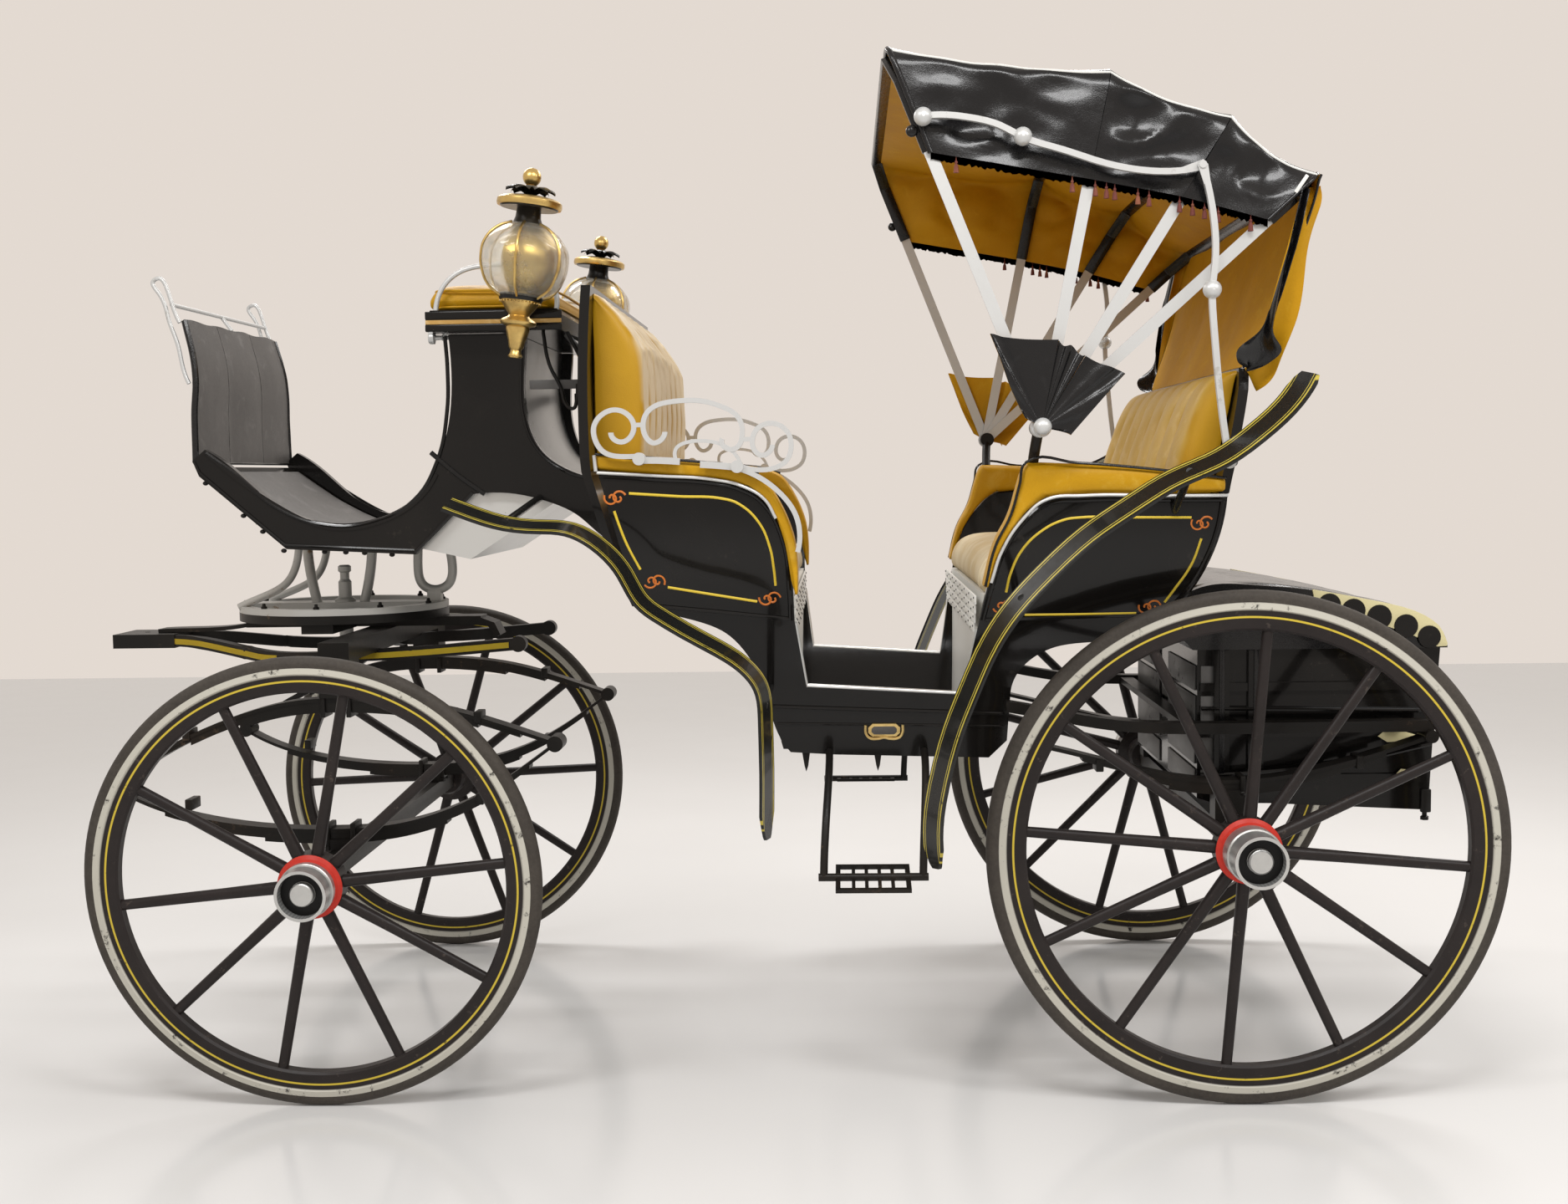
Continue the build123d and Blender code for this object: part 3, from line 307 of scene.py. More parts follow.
@dataclass(frozen=True)
class Paint:
    """Brushed or sprayed paint with dust, small chips and worn places."""

    name: str
    colour: Colour
    worn: Colour
    gloss: float = 0.2
    wear: float = 0.25
    metallic: float = 0.0
    coat: float = 0.3
    shine: float = 0.2

    def make(self) -> Material:
        """Returns the material."""
        m = Maker(self.name)
        broad = m.noise(3.5, 4.0)
        fine = m.noise(70.0, 3.0)
        chips = (m.noise(38.0, 5.0, 0.7) * 0.6 + broad * 0.4).smooth(0.60, 0.66) * self.wear
        dust = broad.smooth(0.45, 0.75) * 0.25 * self.wear
        colour = m.mix(chips + dust, self.colour, self.worn)
        m.bump(m.noise(22.0, 2.0) * 0.7 + fine * 0.3, 0.05, 0.002)
        rough = fine * 0.08 + broad * 0.10 + chips * 0.3 + (self.gloss - 0.08)
        return m.surface(Base_Color=colour, Roughness=rough, Metallic=self.metallic, Coat_Weight=self.coat,
                         Coat_Roughness=0.06, Specular_IOR_Level=self.shine)


@dataclass(frozen=True)
class StripedWheel:
    """Wheel paint with its hub ring, cap, nut and the lines round its rim."""

    name: str
    centre: tuple[float, float, float]
    tilt: float
    radius: float
    reach: float
    outward: int

    def make(self) -> Material:
        """Returns the material."""
        m = Maker(self.name)
        own = m.turned(place(*self.centre), (math.radians(self.tilt), 0.0, 0.0))
        x, y, z = m.axes(own)
        out = y * self.outward
        r = m.math("SQRT", x * x + z * z)
        unit = self.radius / 1000
        fine = m.noise(60.0, 4.0, 0.65)
        broad = m.noise(9.0, 3.0)
        wood = m.mix(broad * 0.7 + fine * 0.3, (0.008, 0.007, 0.007), (0.034, 0.026, 0.024))
        scuff = (m.noise(45.0, 5.0, 0.75)).smooth(0.60, 0.72)
        wood = m.mix(scuff * 0.4, wood, (0.14, 0.11, 0.09))
        line = r.band(0.897 * unit, 0.0022) * (fine.smooth(0.25, 0.40))
        wood = m.mix(line, wood, (0.62, 0.46, 0.05))
        cream = r.band(0.938 * unit, 0.0085, 0.002) * (m.noise(30.0, 5.0, 0.7).smooth(0.30, 0.42))
        wood = m.mix(cream * 0.9, wood, (0.60, 0.57, 0.49))
        ring = (r.band(0.062, 0.0165, 0.0008)) * (out.smooth(0.0215,
                                                             0.0225) * (1 - out.smooth(0.0375, 0.0385)))
        red = ring * (r.smooth(0.0470, 0.0480))
        wood = m.mix(red, wood, m.mix(fine, (0.42, 0.018, 0.012), (0.60, 0.05, 0.03)))
        cap = out.smooth(0.0372, 0.0380) * (1 - r.smooth(0.0640, 0.0650))
        silver = m.mix(fine * 0.5 + broad * 0.4, (0.42, 0.42, 0.41), (0.70, 0.70, 0.68))
        floor = (self.reach - 25.0) / 1000
        deep = cap * (1 - r.smooth(0.0507, 0.0511)) * r.smooth(0.0273, 0.0277) * out.smooth(floor,
                                                                                            floor + 0.0004)
        wood = m.mix(cap, wood, silver)
        wood = m.mix(deep, wood, (0.006, 0.006, 0.006))
        metal = cap * (1 - deep)
        ribs = (out * 900.0).sine() * cap * 0.6
        m.bump(fine * 0.4 + scuff * 0.3 + ribs, 0.25, 0.0015)
        rough = fine * 0.2 + scuff * 0.15 + 0.28
        return m.surface(Base_Color=wood, Roughness=rough, Metallic=metal * 0.85, Specular_IOR_Level=0.2)


@dataclass(frozen=True)
class Tread:
    """Dark tyre with a scuffed, dusty tread."""

    name: str = "tyre_tread"

    def make(self) -> Material:
        """Returns the material."""
        m = Maker(self.name)
        fine = m.noise(120.0, 5.0, 0.7)
        broad = m.noise(14.0, 4.0, 0.6)
        colour = m.mix(fine * 0.5 + broad * 0.5, (0.012, 0.010, 0.009), (0.10, 0.085, 0.07))
        m.bump(fine, 0.5, 0.002)
        return m.surface(Base_Color=colour, Roughness=broad * 0.2 + 0.55, Specular_IOR_Level=0.25)


@dataclass(frozen=True)
class Hide:
    """Leather with its grain, creases darkened with painted shade, and paler worn places."""

    name: str
    colour: Colour
    deep: Colour
    worn: Colour
    rough: float = 0.42
    grain: float = 0.35
    crease: float = 0.2
    coat: float = 0.0
    wear: float = 0.35
    shine: float = 0.2

    def make(self) -> Material:
        """Returns the material."""
        m = Maker(self.name)
        broad = m.noise(6.0, 4.0, 0.6)
        patches = m.noise(17.0, 5.0, 0.65, warp=0.6)
        pores = m.cells(420.0)
        fold = m.noise(26.0, 4.0, 0.6, warp=1.6)
        painted_crease_shade = 1 - abs(fold - 0.5).smooth(0.0, 0.035)
        colour = m.mix(broad, self.deep, self.colour)
        colour = m.mix(patches.smooth(0.52, 0.72) * self.wear, colour, self.worn)
        # painted shade: the colour darkens towards deep along the crease lines
        colour = m.mix(painted_crease_shade * 0.25, colour, self.deep)
        m.bump(pores * self.grain + fold * self.crease + m.noise(160.0, 3.0) * 0.2, 0.35, 0.0016)
        rough = patches * 0.18 + pores * 0.12 + (self.rough - 0.12)
        return m.surface(Base_Color=colour, Roughness=rough, Coat_Weight=self.coat, Coat_Roughness=0.12,
                         Specular_IOR_Level=self.shine)


@dataclass(frozen=True)
class Tufted:
    """Mustard sewn leather with a pale painted sheen on its raised pads; it keeps its own mustard in its
    channels, round its buttons and on its gussets.
    """

    name: str
    low: Colour
    high: Colour
    lit: Colour

    def make(self) -> Material:
        """Returns the material."""
        m = Maker(self.name)
        hollow = Value(m, m.node("ShaderNodeAttribute", {"attribute_name": "hollow"}).outputs["Fac"])
        broad = m.noise(7.0, 4.0, 0.6)
        patches = m.noise(19.0, 5.0, 0.65, warp=0.6)
        pores = m.cells(430.0)
        fold = m.noise(30.0, 4.0, 0.6, warp=1.4)
        # painted sheen: the raised pads get pale colours from low and high, and brighter painted highlight
        # patches from lit
        pale = m.mix(broad * 0.7 + patches * 0.3, self.low, self.high)
        pale = m.mix(patches.smooth(0.5, 0.75) * 0.5, pale, self.lit)
        deep = m.mix(broad, (0.42, 0.22, 0.008), (0.54, 0.30, 0.012))
        # the leather's own mustard shows in the hollows and on the gussets; elsewhere the pale painted sheen
        # covers it
        colour = m.mix(hollow.smooth(0.25, 0.80), pale, deep)
        m.bump(pores * 0.3 + fold * 0.25 + m.noise(160.0, 3.0) * 0.2, 0.35, 0.0016)
        return m.surface(Base_Color=colour, Roughness=patches * 0.18 + pores * 0.1 + 0.30,
                         Specular_IOR_Level=0.3)


@dataclass(frozen=True)
class Ribbed:
    """Pale cloth with fine sewn ribs from front to back and painted shade in the grooves between them."""

    name: str = "ribbed_cloth"
    pitch: float = 0.013

    def make(self) -> Material:
        """Returns the material."""
        m = Maker(self.name)
        _, y, _ = m.axes()
        wander = (m.noise(9.0, 3.0) - 0.5) * 0.006
        rib = ((y + wander) * (2 * math.pi / self.pitch)).sine() * 0.5 + 0.5
        weave = m.cells(700.0)
        broad = m.noise(8.0, 4.0, 0.6)
        colour = m.mix(broad.smooth(0.3, 0.7), (0.58, 0.44, 0.24), (0.72, 0.62, 0.44))
        # painted shade: the cloth darkens in the grooves between the ribs
        colour = m.mix((1 - rib) * 0.30, colour, (0.40, 0.27, 0.11))
        colour = m.mix(weave * 0.3, colour, (0.66, 0.55, 0.36))
        m.bump(rib * 0.8 + weave * 0.25 + m.noise(120.0, 3.0) * 0.15, 0.5, 0.0018)
        return m.surface(Base_Color=colour, Roughness=broad * 0.1 + weave * 0.1 + 0.66,
                         Specular_IOR_Level=0.2)


@dataclass(frozen=True)
class Yarn:
    """Dark red twisted yarn."""

    name: str = "fringe_yarn"

    def make(self) -> Material:
        """Returns the material."""
        m = Maker(self.name)
        strands = m.noise(90.0, 4.0, 0.7, m.stretched((4.0, 4.0, 0.4)))
        colour = m.mix(strands, (0.06, 0.010, 0.009), (0.22, 0.052, 0.034))
        colour = m.mix(m.noise(25.0, 3.0).smooth(0.5, 0.7) * 0.4, colour, (0.42, 0.16, 0.06))
        m.bump(strands, 0.6, 0.002)
        return m.surface(Base_Color=colour, Roughness=strands * 0.15 + 0.7)


@dataclass(frozen=True)
class Metal:
    """Polished or cast metal with tarnish in its hollows."""

    name: str
    colour: Colour
    tarnish: Colour
    rough: float = 0.25

    def make(self) -> Material:
        """Returns the material."""
        m = Maker(self.name)
        broad = m.noise(18.0, 4.0, 0.6)
        fine = m.noise(140.0, 3.0)
        colour = m.mix(broad.smooth(0.42, 0.72) * 0.7, self.colour, self.tarnish)
        m.bump(fine * 0.5 + broad * 0.5, 0.08, 0.001)
        return m.surface(Base_Color=colour, Metallic=0.95,
                         Roughness=broad * 0.25 + fine * 0.08 + (self.rough - 0.1))


@dataclass(frozen=True)
class Pane:
    """Old clear glass with a little tint and grime."""

    name: str = "lamp_pane"

    def make(self) -> Material:
        """Returns the material."""
        m = Maker(self.name)
        grime = m.noise(30.0, 4.0, 0.6).smooth(0.45, 0.8)
        colour = m.mix(grime * 0.5, (0.93, 0.90, 0.80), (0.62, 0.56, 0.42))
        m.bump(m.noise(12.0, 2.0), 0.08, 0.003)
        m.shader.inputs["Transmission Weight"].default_value = 0.85
        m.shader.inputs["IOR"].default_value = 1.25
        return m.surface(Base_Color=colour, Roughness=grime * 0.18 + 0.03, Alpha=grime * 0.35 + 0.42)


@dataclass(frozen=True)
class WingPaint:
    """Black wing with the double line near each edge."""

    name: str
    middle: float = 0.795
    half: float = 0.037

    def make(self) -> Material:
        """Returns the material."""
        m = Maker(self.name)
        _, y, _ = m.axes()
        across = abs(abs(y) - self.middle)
        fine = m.noise(60.0, 4.0)
        broad = m.noise(5.0, 4.0)
        line = across.band(self.half - 0.006, 0.0019) + across.band(self.half - 0.013, 0.0009)
        colour = m.mix(broad * 0.5 + fine * 0.2, (0.006, 0.006, 0.0055), (0.019, 0.019, 0.017))
        colour = m.mix(line * fine.smooth(0.2, 0.4), colour, (0.50, 0.40, 0.06))
        m.bump(m.noise(24.0, 3.0), 0.06, 0.002)
        return m.surface(Base_Color=colour, Roughness=fine * 0.12 + broad * 0.2 + 0.08, Coat_Weight=0.15,
                         Specular_IOR_Level=0.25)


class Looks:
    """Makes each finish once and hands it out by name."""

    def __init__(self) -> None:
        """Makes the finishes that several pieces share."""
        self.made: dict[str, Material] = {}
        for finish in (
            Paint("body_black", (0.0070, 0.0062, 0.0056), (0.06, 0.05, 0.04), 0.14, 0.22, 0.0, 0.22, 0.15),
            Paint("iron_black", (0.0085, 0.0075, 0.0065), (0.10, 0.065, 0.04), 0.42, 0.5, 0.0, 0.05, 0.2),
            Paint("silver_paint", (0.60, 0.60, 0.59), (0.33, 0.31, 0.27), 0.36, 0.45, 0.35, 0.1),
            Paint("white_paint", (0.76, 0.75, 0.71), (0.42, 0.36, 0.28), 0.45, 0.4, 0.0, 0.05),
            Paint("yellow_line", (0.72, 0.52, 0.045), (0.42, 0.31, 0.05), 0.35, 0.4, 0.0, 0.1),
            Paint("sheet_metal", (0.66, 0.66, 0.64), (0.30, 0.29, 0.26), 0.30, 0.5, 0.6, 0.1),
            Hide("mustard_hide", (0.60, 0.325, 0.008), (0.47, 0.235, 0.004), (0.70, 0.46, 0.08)),
            Hide("lining_hide", (0.62, 0.32, 0.006), (0.44, 0.21, 0.003), (0.66, 0.40, 0.03), 0.6, 0.2, 0.3),
            Hide("tan_hide", (0.60, 0.38, 0.13), (0.46, 0.25, 0.06), (0.74, 0.56, 0.30), 0.45, 0.3, 0.25,
                 0.0, 0.6),
            Hide("hood_hide", (0.0065, 0.006, 0.0065), (0.004, 0.004, 0.0045), (0.022, 0.021, 0.022), 0.22,
                 0.3, 1.2,
                 0.3, 0.3, 0.25),
            Hide("dash_hide", (0.105, 0.096, 0.090), (0.060, 0.055, 0.050), (0.20, 0.185, 0.175), 0.42, 0.4,
                 0.45,
                 0.0, 0.5, 0.35),
            Metal("lamp_brass", (0.66, 0.46, 0.16), (0.30, 0.19, 0.07)),
            Paint("lamp_black", (0.010, 0.0095, 0.009), (0.20, 0.14, 0.05), 0.3, 0.6, 0.2, 0.2),
            Paint("orange_line", (0.60, 0.17, 0.03), (0.45, 0.28, 0.05), 0.4, 0.5, 0.0, 0.1),
            Paint("cream_paint", (0.72, 0.64, 0.36), (0.50, 0.42, 0.22), 0.4, 0.4, 0.0, 0.1),
            Metal("lamp_gilt", (0.78, 0.58, 0.24), (0.50, 0.33, 0.12), 0.3),
            # The two tufted finishes are one mustard leather: low, high and lit are a pale painted sheen over
            # it, paler on the front back than on the rear one.
            Tufted("tufted_front", (0.60, 0.44, 0.22), (0.74, 0.62, 0.42), (0.80, 0.71, 0.56)),
            Tufted("tufted_rear", (0.50, 0.30, 0.035), (0.60, 0.40, 0.10), (0.68, 0.51, 0.24)),
            Metal("lamp_bowl", (0.44, 0.31, 0.09), (0.30, 0.20, 0.05), 0.24),
            Ribbed(),
            Yarn(),
            Tread(),
            Pane(),
            WingPaint("front_wing_paint", half=0.0371),
            WingPaint("rear_wing_paint", half=0.0344),
            Paint("worn_silver", (0.50, 0.49, 0.46), (0.26, 0.17, 0.10), 0.42, 0.85, 0.3, 0.05),
            Paint("scuffed_grey", (0.115, 0.110, 0.105), (0.03, 0.028, 0.026), 0.45, 0.9, 0.1, 0.05, 0.3),
        ):
            self.made[finish.name] = finish.make()

    def __getitem__(self, name: str) -> Material:
        """Returns the finish of that name."""
        return self.made[name]

    def dress(self, node: Piece, material: Material) -> None:
        """Gives a node of the frame one material."""
        node.data.materials.clear()
        node.data.materials.append(material)


@dataclass
class Studio:
    """Floor, light and the camera at the photograph's place."""

    focal_px: float = 2026.08
    width_px: int = 1876
    yaw: float = 0.0356
    pitch: float = -0.0756
    roll: float = 0.0147
    eye: tuple[float, float, float] = (109.8, -4421.0, 1428.9)

    def camera(self) -> None:
        """Makes the camera."""
        data = bpy.data.cameras.new("camera")
        data.sensor_width = 36.0
        data.lens = 36.0 * self.focal_px / self.width_px
        camera = bpy.data.objects.new("camera", data)
        turn = Matrix.Rotation(self.yaw, 3, "Z") @ Matrix.Rotation(self.pitch, 3, "X")
        turn = turn @ Matrix.Rotation(self.roll, 3, "Y") @ Matrix.Rotation(math.pi / 2, 3, "X")
        camera.matrix_world = Matrix.Translation(place(*self.eye)) @ turn.to_4x4()
        bpy.context.scene.collection.objects.link(camera)
        bpy.context.scene.camera = camera

    def floor(self) -> None:
        """Makes the pale, slightly glossy floor."""
        mesh = bmesh.new()
        bmesh.ops.create_grid(mesh, x_segments=2, y_segments=2, size=7.8)
        data = bpy.data.meshes.new("floor")
        mesh.to_mesh(data)
        mesh.free()
        floor = bpy.data.objects.new("floor", data)
        bpy.context.scene.collection.objects.link(floor)
        m = Maker("floor_paint")
        broad = m.noise(0.8, 3.0)
        colour = m.mix(broad, (0.74, 0.72, 0.705), (0.80, 0.785, 0.77))
        data.materials.append(m.surface(Base_Color=colour, Roughness=broad * 0.1 + 0.12))

    def lights(self) -> None:
        """Makes the ceiling panels and the pale surroundings."""
        world = bpy.data.worlds.new("room")
        bpy.context.scene.world = world
        world.use_nodes = True
        tree = world.node_tree
        tree.nodes.clear()
        output = tree.nodes.new("ShaderNodeOutputWorld")
        light = tree.nodes.new("ShaderNodeBackground")
        light.inputs["Color"].default_value = (1.0, 0.98, 0.95, 1.0)
        light.inputs["Strength"].default_value = 0.62
        wall = tree.nodes.new("ShaderNodeBackground")
        wall.inputs["Color"].default_value = (0.77, 0.70, 0.64, 1.0)
        wall.inputs["Strength"].default_value = 1.0
        path = tree.nodes.new("ShaderNodeLightPath")
        seen = tree.nodes.new("ShaderNodeMath")
        seen.operation = "MAXIMUM"
        tree.links.new(path.outputs["Is Camera Ray"], seen.inputs[0])
        tree.links.new(path.outputs["Is Transmission Ray"], seen.inputs[1])
        shown = tree.nodes.new("ShaderNodeMath")
        shown.operation = "MAXIMUM"
        tree.links.new(seen.outputs[0], shown.inputs[0])
        tree.links.new(path.outputs["Is Glossy Ray"], shown.inputs[1])
        mix = tree.nodes.new("ShaderNodeMixShader")
        tree.links.new(shown.outputs[0], mix.inputs[0])
        tree.links.new(light.outputs[0], mix.inputs[1])
        tree.links.new(wall.outputs[0], mix.inputs[2])
        tree.links.new(mix.outputs[0], output.inputs["Surface"])
        for x, y, power in ((-1500, -2300, 42.0), (600, -2300, 42.0), (2700, -2300, 42.0),
                            (-1500, 1500, 34.0), (600, 1500, 34.0), (2700, 1500, 34.0)):
            data = bpy.data.lights.new("panel", "AREA")
            data.shape = "RECTANGLE"
            data.size, data.size_y = 1.2, 0.6
            data.energy = power
            lamp = bpy.data.objects.new("panel", data)
            lamp.location = place(x, y, 3300)
            bpy.context.scene.collection.objects.link(lamp)


NODE_LOOKS: dict[str, str] = {
    "boot_sides": "body_black", "footboard": "body_black", "dash": "dash_hide", "seat_board": "body_black",
    "box_cushion": "mustard_hide", "wire_rails": "silver_paint", "boot_pan": "sheet_metal",
    "front_board": "body_black", "lamps": "lamp_brass", "lamp_glasses": "lamp_pane",
    "front_sides": "body_black",
    "tub_sides": "body_black", "tub_floor": "body_black", "rear_sides": "body_black",
    "front_arm_pads": "mustard_hide", "rear_arm_pads": "mustard_hide", "rear_back": "body_black",
    "front_back_cushion": "mustard_hide", "rear_back_cushion": "mustard_hide",
    "front_seat_cushion": "tan_hide", "rear_seat_cushion": "tan_hide", "front_seat_box": "white_paint",
    "rear_seat_box": "white_paint", "scroll_rails": "silver_paint", "front_wings": "front_wing_paint",
    "rear_wings": "rear_wing_paint", "steps": "iron_black", "upper_gear": "worn_silver",
    "rear_gear": "iron_black",
    "trunk": "body_black", "trunk_cover": "hood_hide", "hood_posts": "iron_black",
    "back_curtain": "lining_hide",
    "lower_ring": "iron_black", "bed": "iron_black", "front_axle": "iron_black",
    "front_springs": "iron_black",
    "futchells": "iron_black", "pole_socket": "iron_black", "hood_roof_front": "hood_hide",
    "hood_roof_middle": "hood_hide", "hood_roof_rear": "hood_hide", "bow_rear": "silver_paint",
    "bow_third": "silver_paint", "bow_second": "silver_paint", "bow_front": "silver_paint",
    "irons_upper": "silver_paint", "irons_lower": "silver_paint",
}


@dataclass
class Wheels:
    """Dresses the four wheels of the frame."""

    rear_radius: float = 580.0
    front_radius: float = 521.7
    camber: float = 3.35
    tyre_half: float = 18.0
    sizes: dict[str, tuple[float, float, float]] = field(default_factory=lambda: {
        "front": (-1096.5, 695.5, 95.0), "rear": (1000.0, 667.0, 141.0),
    })

    def build(self, frame: dict[str, Any], looks: Looks) -> None:
        """Gives each wheel and tyre its paint.

        Args:
            frame: The loaded frame.
            looks: The shared finishes.
        """
        for end, (x, track, reach) in self.sizes.items():
            radius = self.front_radius if end == "front" else self.rear_radius
            tilt = self.camber if end == "front" else 0.0
            height = (radius - self.tyre_half) * math.cos(math.radians(tilt)) + self.tyre_half
            for side in Side:
                label = side.name.lower()
                finish = StripedWheel(f"wheel_paint_{end}_{label}", (x, side.value * track, height),
                                      -side.value * tilt, radius, reach, side.value)
                looks.dress(frame["nodes"][f"wheel_{end}_{label}"], finish.make())
                looks.dress(frame["nodes"][f"tyre_{end}_{label}"], looks["tyre_tread"])
                LOG.info("dressed the %s %s wheel", label, end)


PIVOT = (541.0, 1521.0)
FRAME = Matrix.Translation((SHIFT_X / 1000, 0.0, 0.0)) @ Matrix.Scale(0.001, 4)


@dataclass(frozen=True)
class Run:
    """A round bar bent through points; straight keeps its corners."""

    points: Places
    radius: float
    closed: bool = False
    straight: bool = False


def bars(runs: Iterable[Run], sides: int = 2, fine: int = 5) -> Mesh:
    """Bends round bars.

    Args:
        runs: The bars.
        sides: Roundness of each bar.
        fine: Divisions between two points.

    Returns:
        One mesh of them all.
    """
    curve = bpy.data.curves.new("bars", "CURVE")
    curve.dimensions = "3D"
    curve.bevel_depth = 1.0
    curve.bevel_resolution = sides
    curve.resolution_u = fine
    curve.use_fill_caps = True
    for run in runs:
        spline = curve.splines.new("POLY" if run.straight else "BEZIER")
        points = spline.points if run.straight else spline.bezier_points
        points.add(len(run.points) - 1)
        for point, spot in zip(points, run.points):
            if run.straight:
                point.co = (*spot, 1.0)
            else:
                point.co = spot
                point.handle_left_type = "AUTO"
                point.handle_right_type = "AUTO"
            point.radius = run.radius
        spline.use_cyclic_u = run.closed
    holder = bpy.data.objects.new("bars", curve)
    bpy.context.scene.collection.objects.link(holder)
    graph = bpy.context.evaluated_depsgraph_get()
    data = bpy.data.meshes.new_from_object(holder.evaluated_get(graph))
    mesh = bmesh.new()
    mesh.from_mesh(data)
    bpy.data.objects.remove(holder)
    bpy.data.curves.remove(curve)
    bpy.data.meshes.remove(data)
    return mesh


def turned(profile: Plan, steps: int = 36) -> Mesh:
    """Spins a profile of (radius, height) round the upright axis."""
    mesh = bmesh.new()
    points = [mesh.verts.new((r, 0.0, z)) for r, z in profile]
    edges = [mesh.edges.new(pair) for pair in zip(points, points[1:])]
    bmesh.ops.spin(mesh, geom=points + edges, cent=(0, 0, 0), axis=(0, 0, 1), dvec=(0, 0, 0),
                   angle=math.tau, steps=steps, use_merge=True)
    bmesh.ops.remove_doubles(mesh, verts=mesh.verts[:], dist=0.01)
    return mesh


def soften(mesh: Mesh, offset: float, segments: int = 2) -> Mesh:
    """Rounds all edges."""
    bmesh.ops.bevel(mesh, geom=mesh.edges[:], offset=offset, offset_type="OFFSET", affect="EDGES",
                    segments=segments, profile=0.5, material=-1, clamp_overlap=True)
    return mesh


def slab(outline: Plan, low: float, high: float, edge: float = 0.0) -> Mesh:
    """An outline in X and Z, thick from low to high across Y."""
    mesh = bmesh.new()
    face = mesh.faces.new([mesh.verts.new((x, low, z)) for x, z in outline])
    grown = bmesh.ops.extrude_face_region(mesh, geom=[face])
    moved = [item for item in grown["geom"] if isinstance(item, bmesh.types.BMVert)]
    bmesh.ops.translate(mesh, verts=moved, vec=(0, high - low, 0))
    bmesh.ops.recalc_face_normals(mesh, faces=mesh.faces[:])
    return soften(mesh, edge) if edge else mesh


def block(low: Sequence[float], high: Sequence[float], edge: float = 0.0) -> Mesh:
    """A box between two corners."""
    mesh = bmesh.new()
    bmesh.ops.create_cube(mesh, size=1.0)
    size = Vector(high) - Vector(low)
    bmesh.ops.scale(mesh, vec=size, verts=mesh.verts[:])
    bmesh.ops.translate(mesh, vec=(Vector(low) + Vector(high)) / 2, verts=mesh.verts[:])
    return soften(mesh, edge) if edge else mesh


def side_box(side: int, x: Sequence[float], y: Sequence[float], z: Sequence[float],
             edge: float = 0.0) -> Mesh:
    """A box on one side; y counts from the middle plane outwards."""
    low, high = sorted((side * y[0], side * y[1]))
    return block((x[0], low, z[0]), (x[1], high, z[1]), edge)


def knob(centre: Sequence[float], radius: float, squash: Sequence[float] = (1, 1, 1)) -> Mesh:
    """A ball, flattened where squash is under 1."""
    mesh = bmesh.new()
    fine = 20 if radius > 12 else 10
    bmesh.ops.create_uvsphere(mesh, u_segments=fine, v_segments=fine // 2 + 2, radius=radius)
    bmesh.ops.scale(mesh, vec=squash, verts=mesh.verts[:])
    bmesh.ops.translate(mesh, vec=centre, verts=mesh.verts[:])
    return mesh


def drape(columns: int, rows: int, where: Callable[[float, float], Sequence[float]]) -> Mesh:
    """A grid whose points go where a function of two shares puts them."""
    mesh = bmesh.new()
    bmesh.ops.create_grid(mesh, x_segments=columns, y_segments=rows, size=0.5)
    for vert in mesh.verts:
        vert.co = Vector(where(vert.co.x + 0.5, vert.co.y + 0.5))
    return mesh


def joined(meshes: Iterable[Mesh]) -> Mesh:
    """Puts several meshes into one."""
    whole = bmesh.new()
    for mesh in meshes:
        data = bpy.data.meshes.new("part")
        mesh.to_mesh(data)
        mesh.free()
        whole.from_mesh(data)
        bpy.data.meshes.remove(data)
    return whole


def moved(mesh: Mesh, matrix: Matrix) -> Mesh:
    """Applies a matrix to a mesh."""
    bmesh.ops.transform(mesh, matrix=matrix, verts=mesh.verts[:])
    return mesh


def both(make: Callable[[int], Mesh]) -> Mesh:
    """Makes a piece for each side and joins the two."""
    return joined(make(side.value) for side in Side)


def flow(points: Places, share: float) -> tuple[float, ...]:
    """The place at a share of a smooth line through points."""
    last = len(points) - 1
    place_on = min(max(share, 0.0), 1.0) * last
    k = min(int(place_on), last - 1)
    t = place_on - k
    before, start = points[max(k - 1, 0)], points[k]
    end, after = points[k + 1], points[min(k + 2, last)]
    return tuple(
        0.5 * (2 * b + (c - a) * t + (2 * a - 5 * b + 4 * c - d) * t * t + (3 * b - a - 3 * c + d) * t ** 3)
        for a, b, c, d in zip(before, start, end, after)
    )


def smooth_line(points: Places, count: int) -> list[tuple[float, ...]]:
    """Points along a smooth line, evenly by share."""
    return [flow(points, k / (count - 1)) for k in range(count)]


def rough(spot: Sequence[float], size: float) -> float:
    """Seedless noise, from 0 to about 1, with folds of a size in millimetres."""
    return 0.5 + 0.5 * noise.fractal(Vector(spot) / size, 0.85, 2.2, 3)


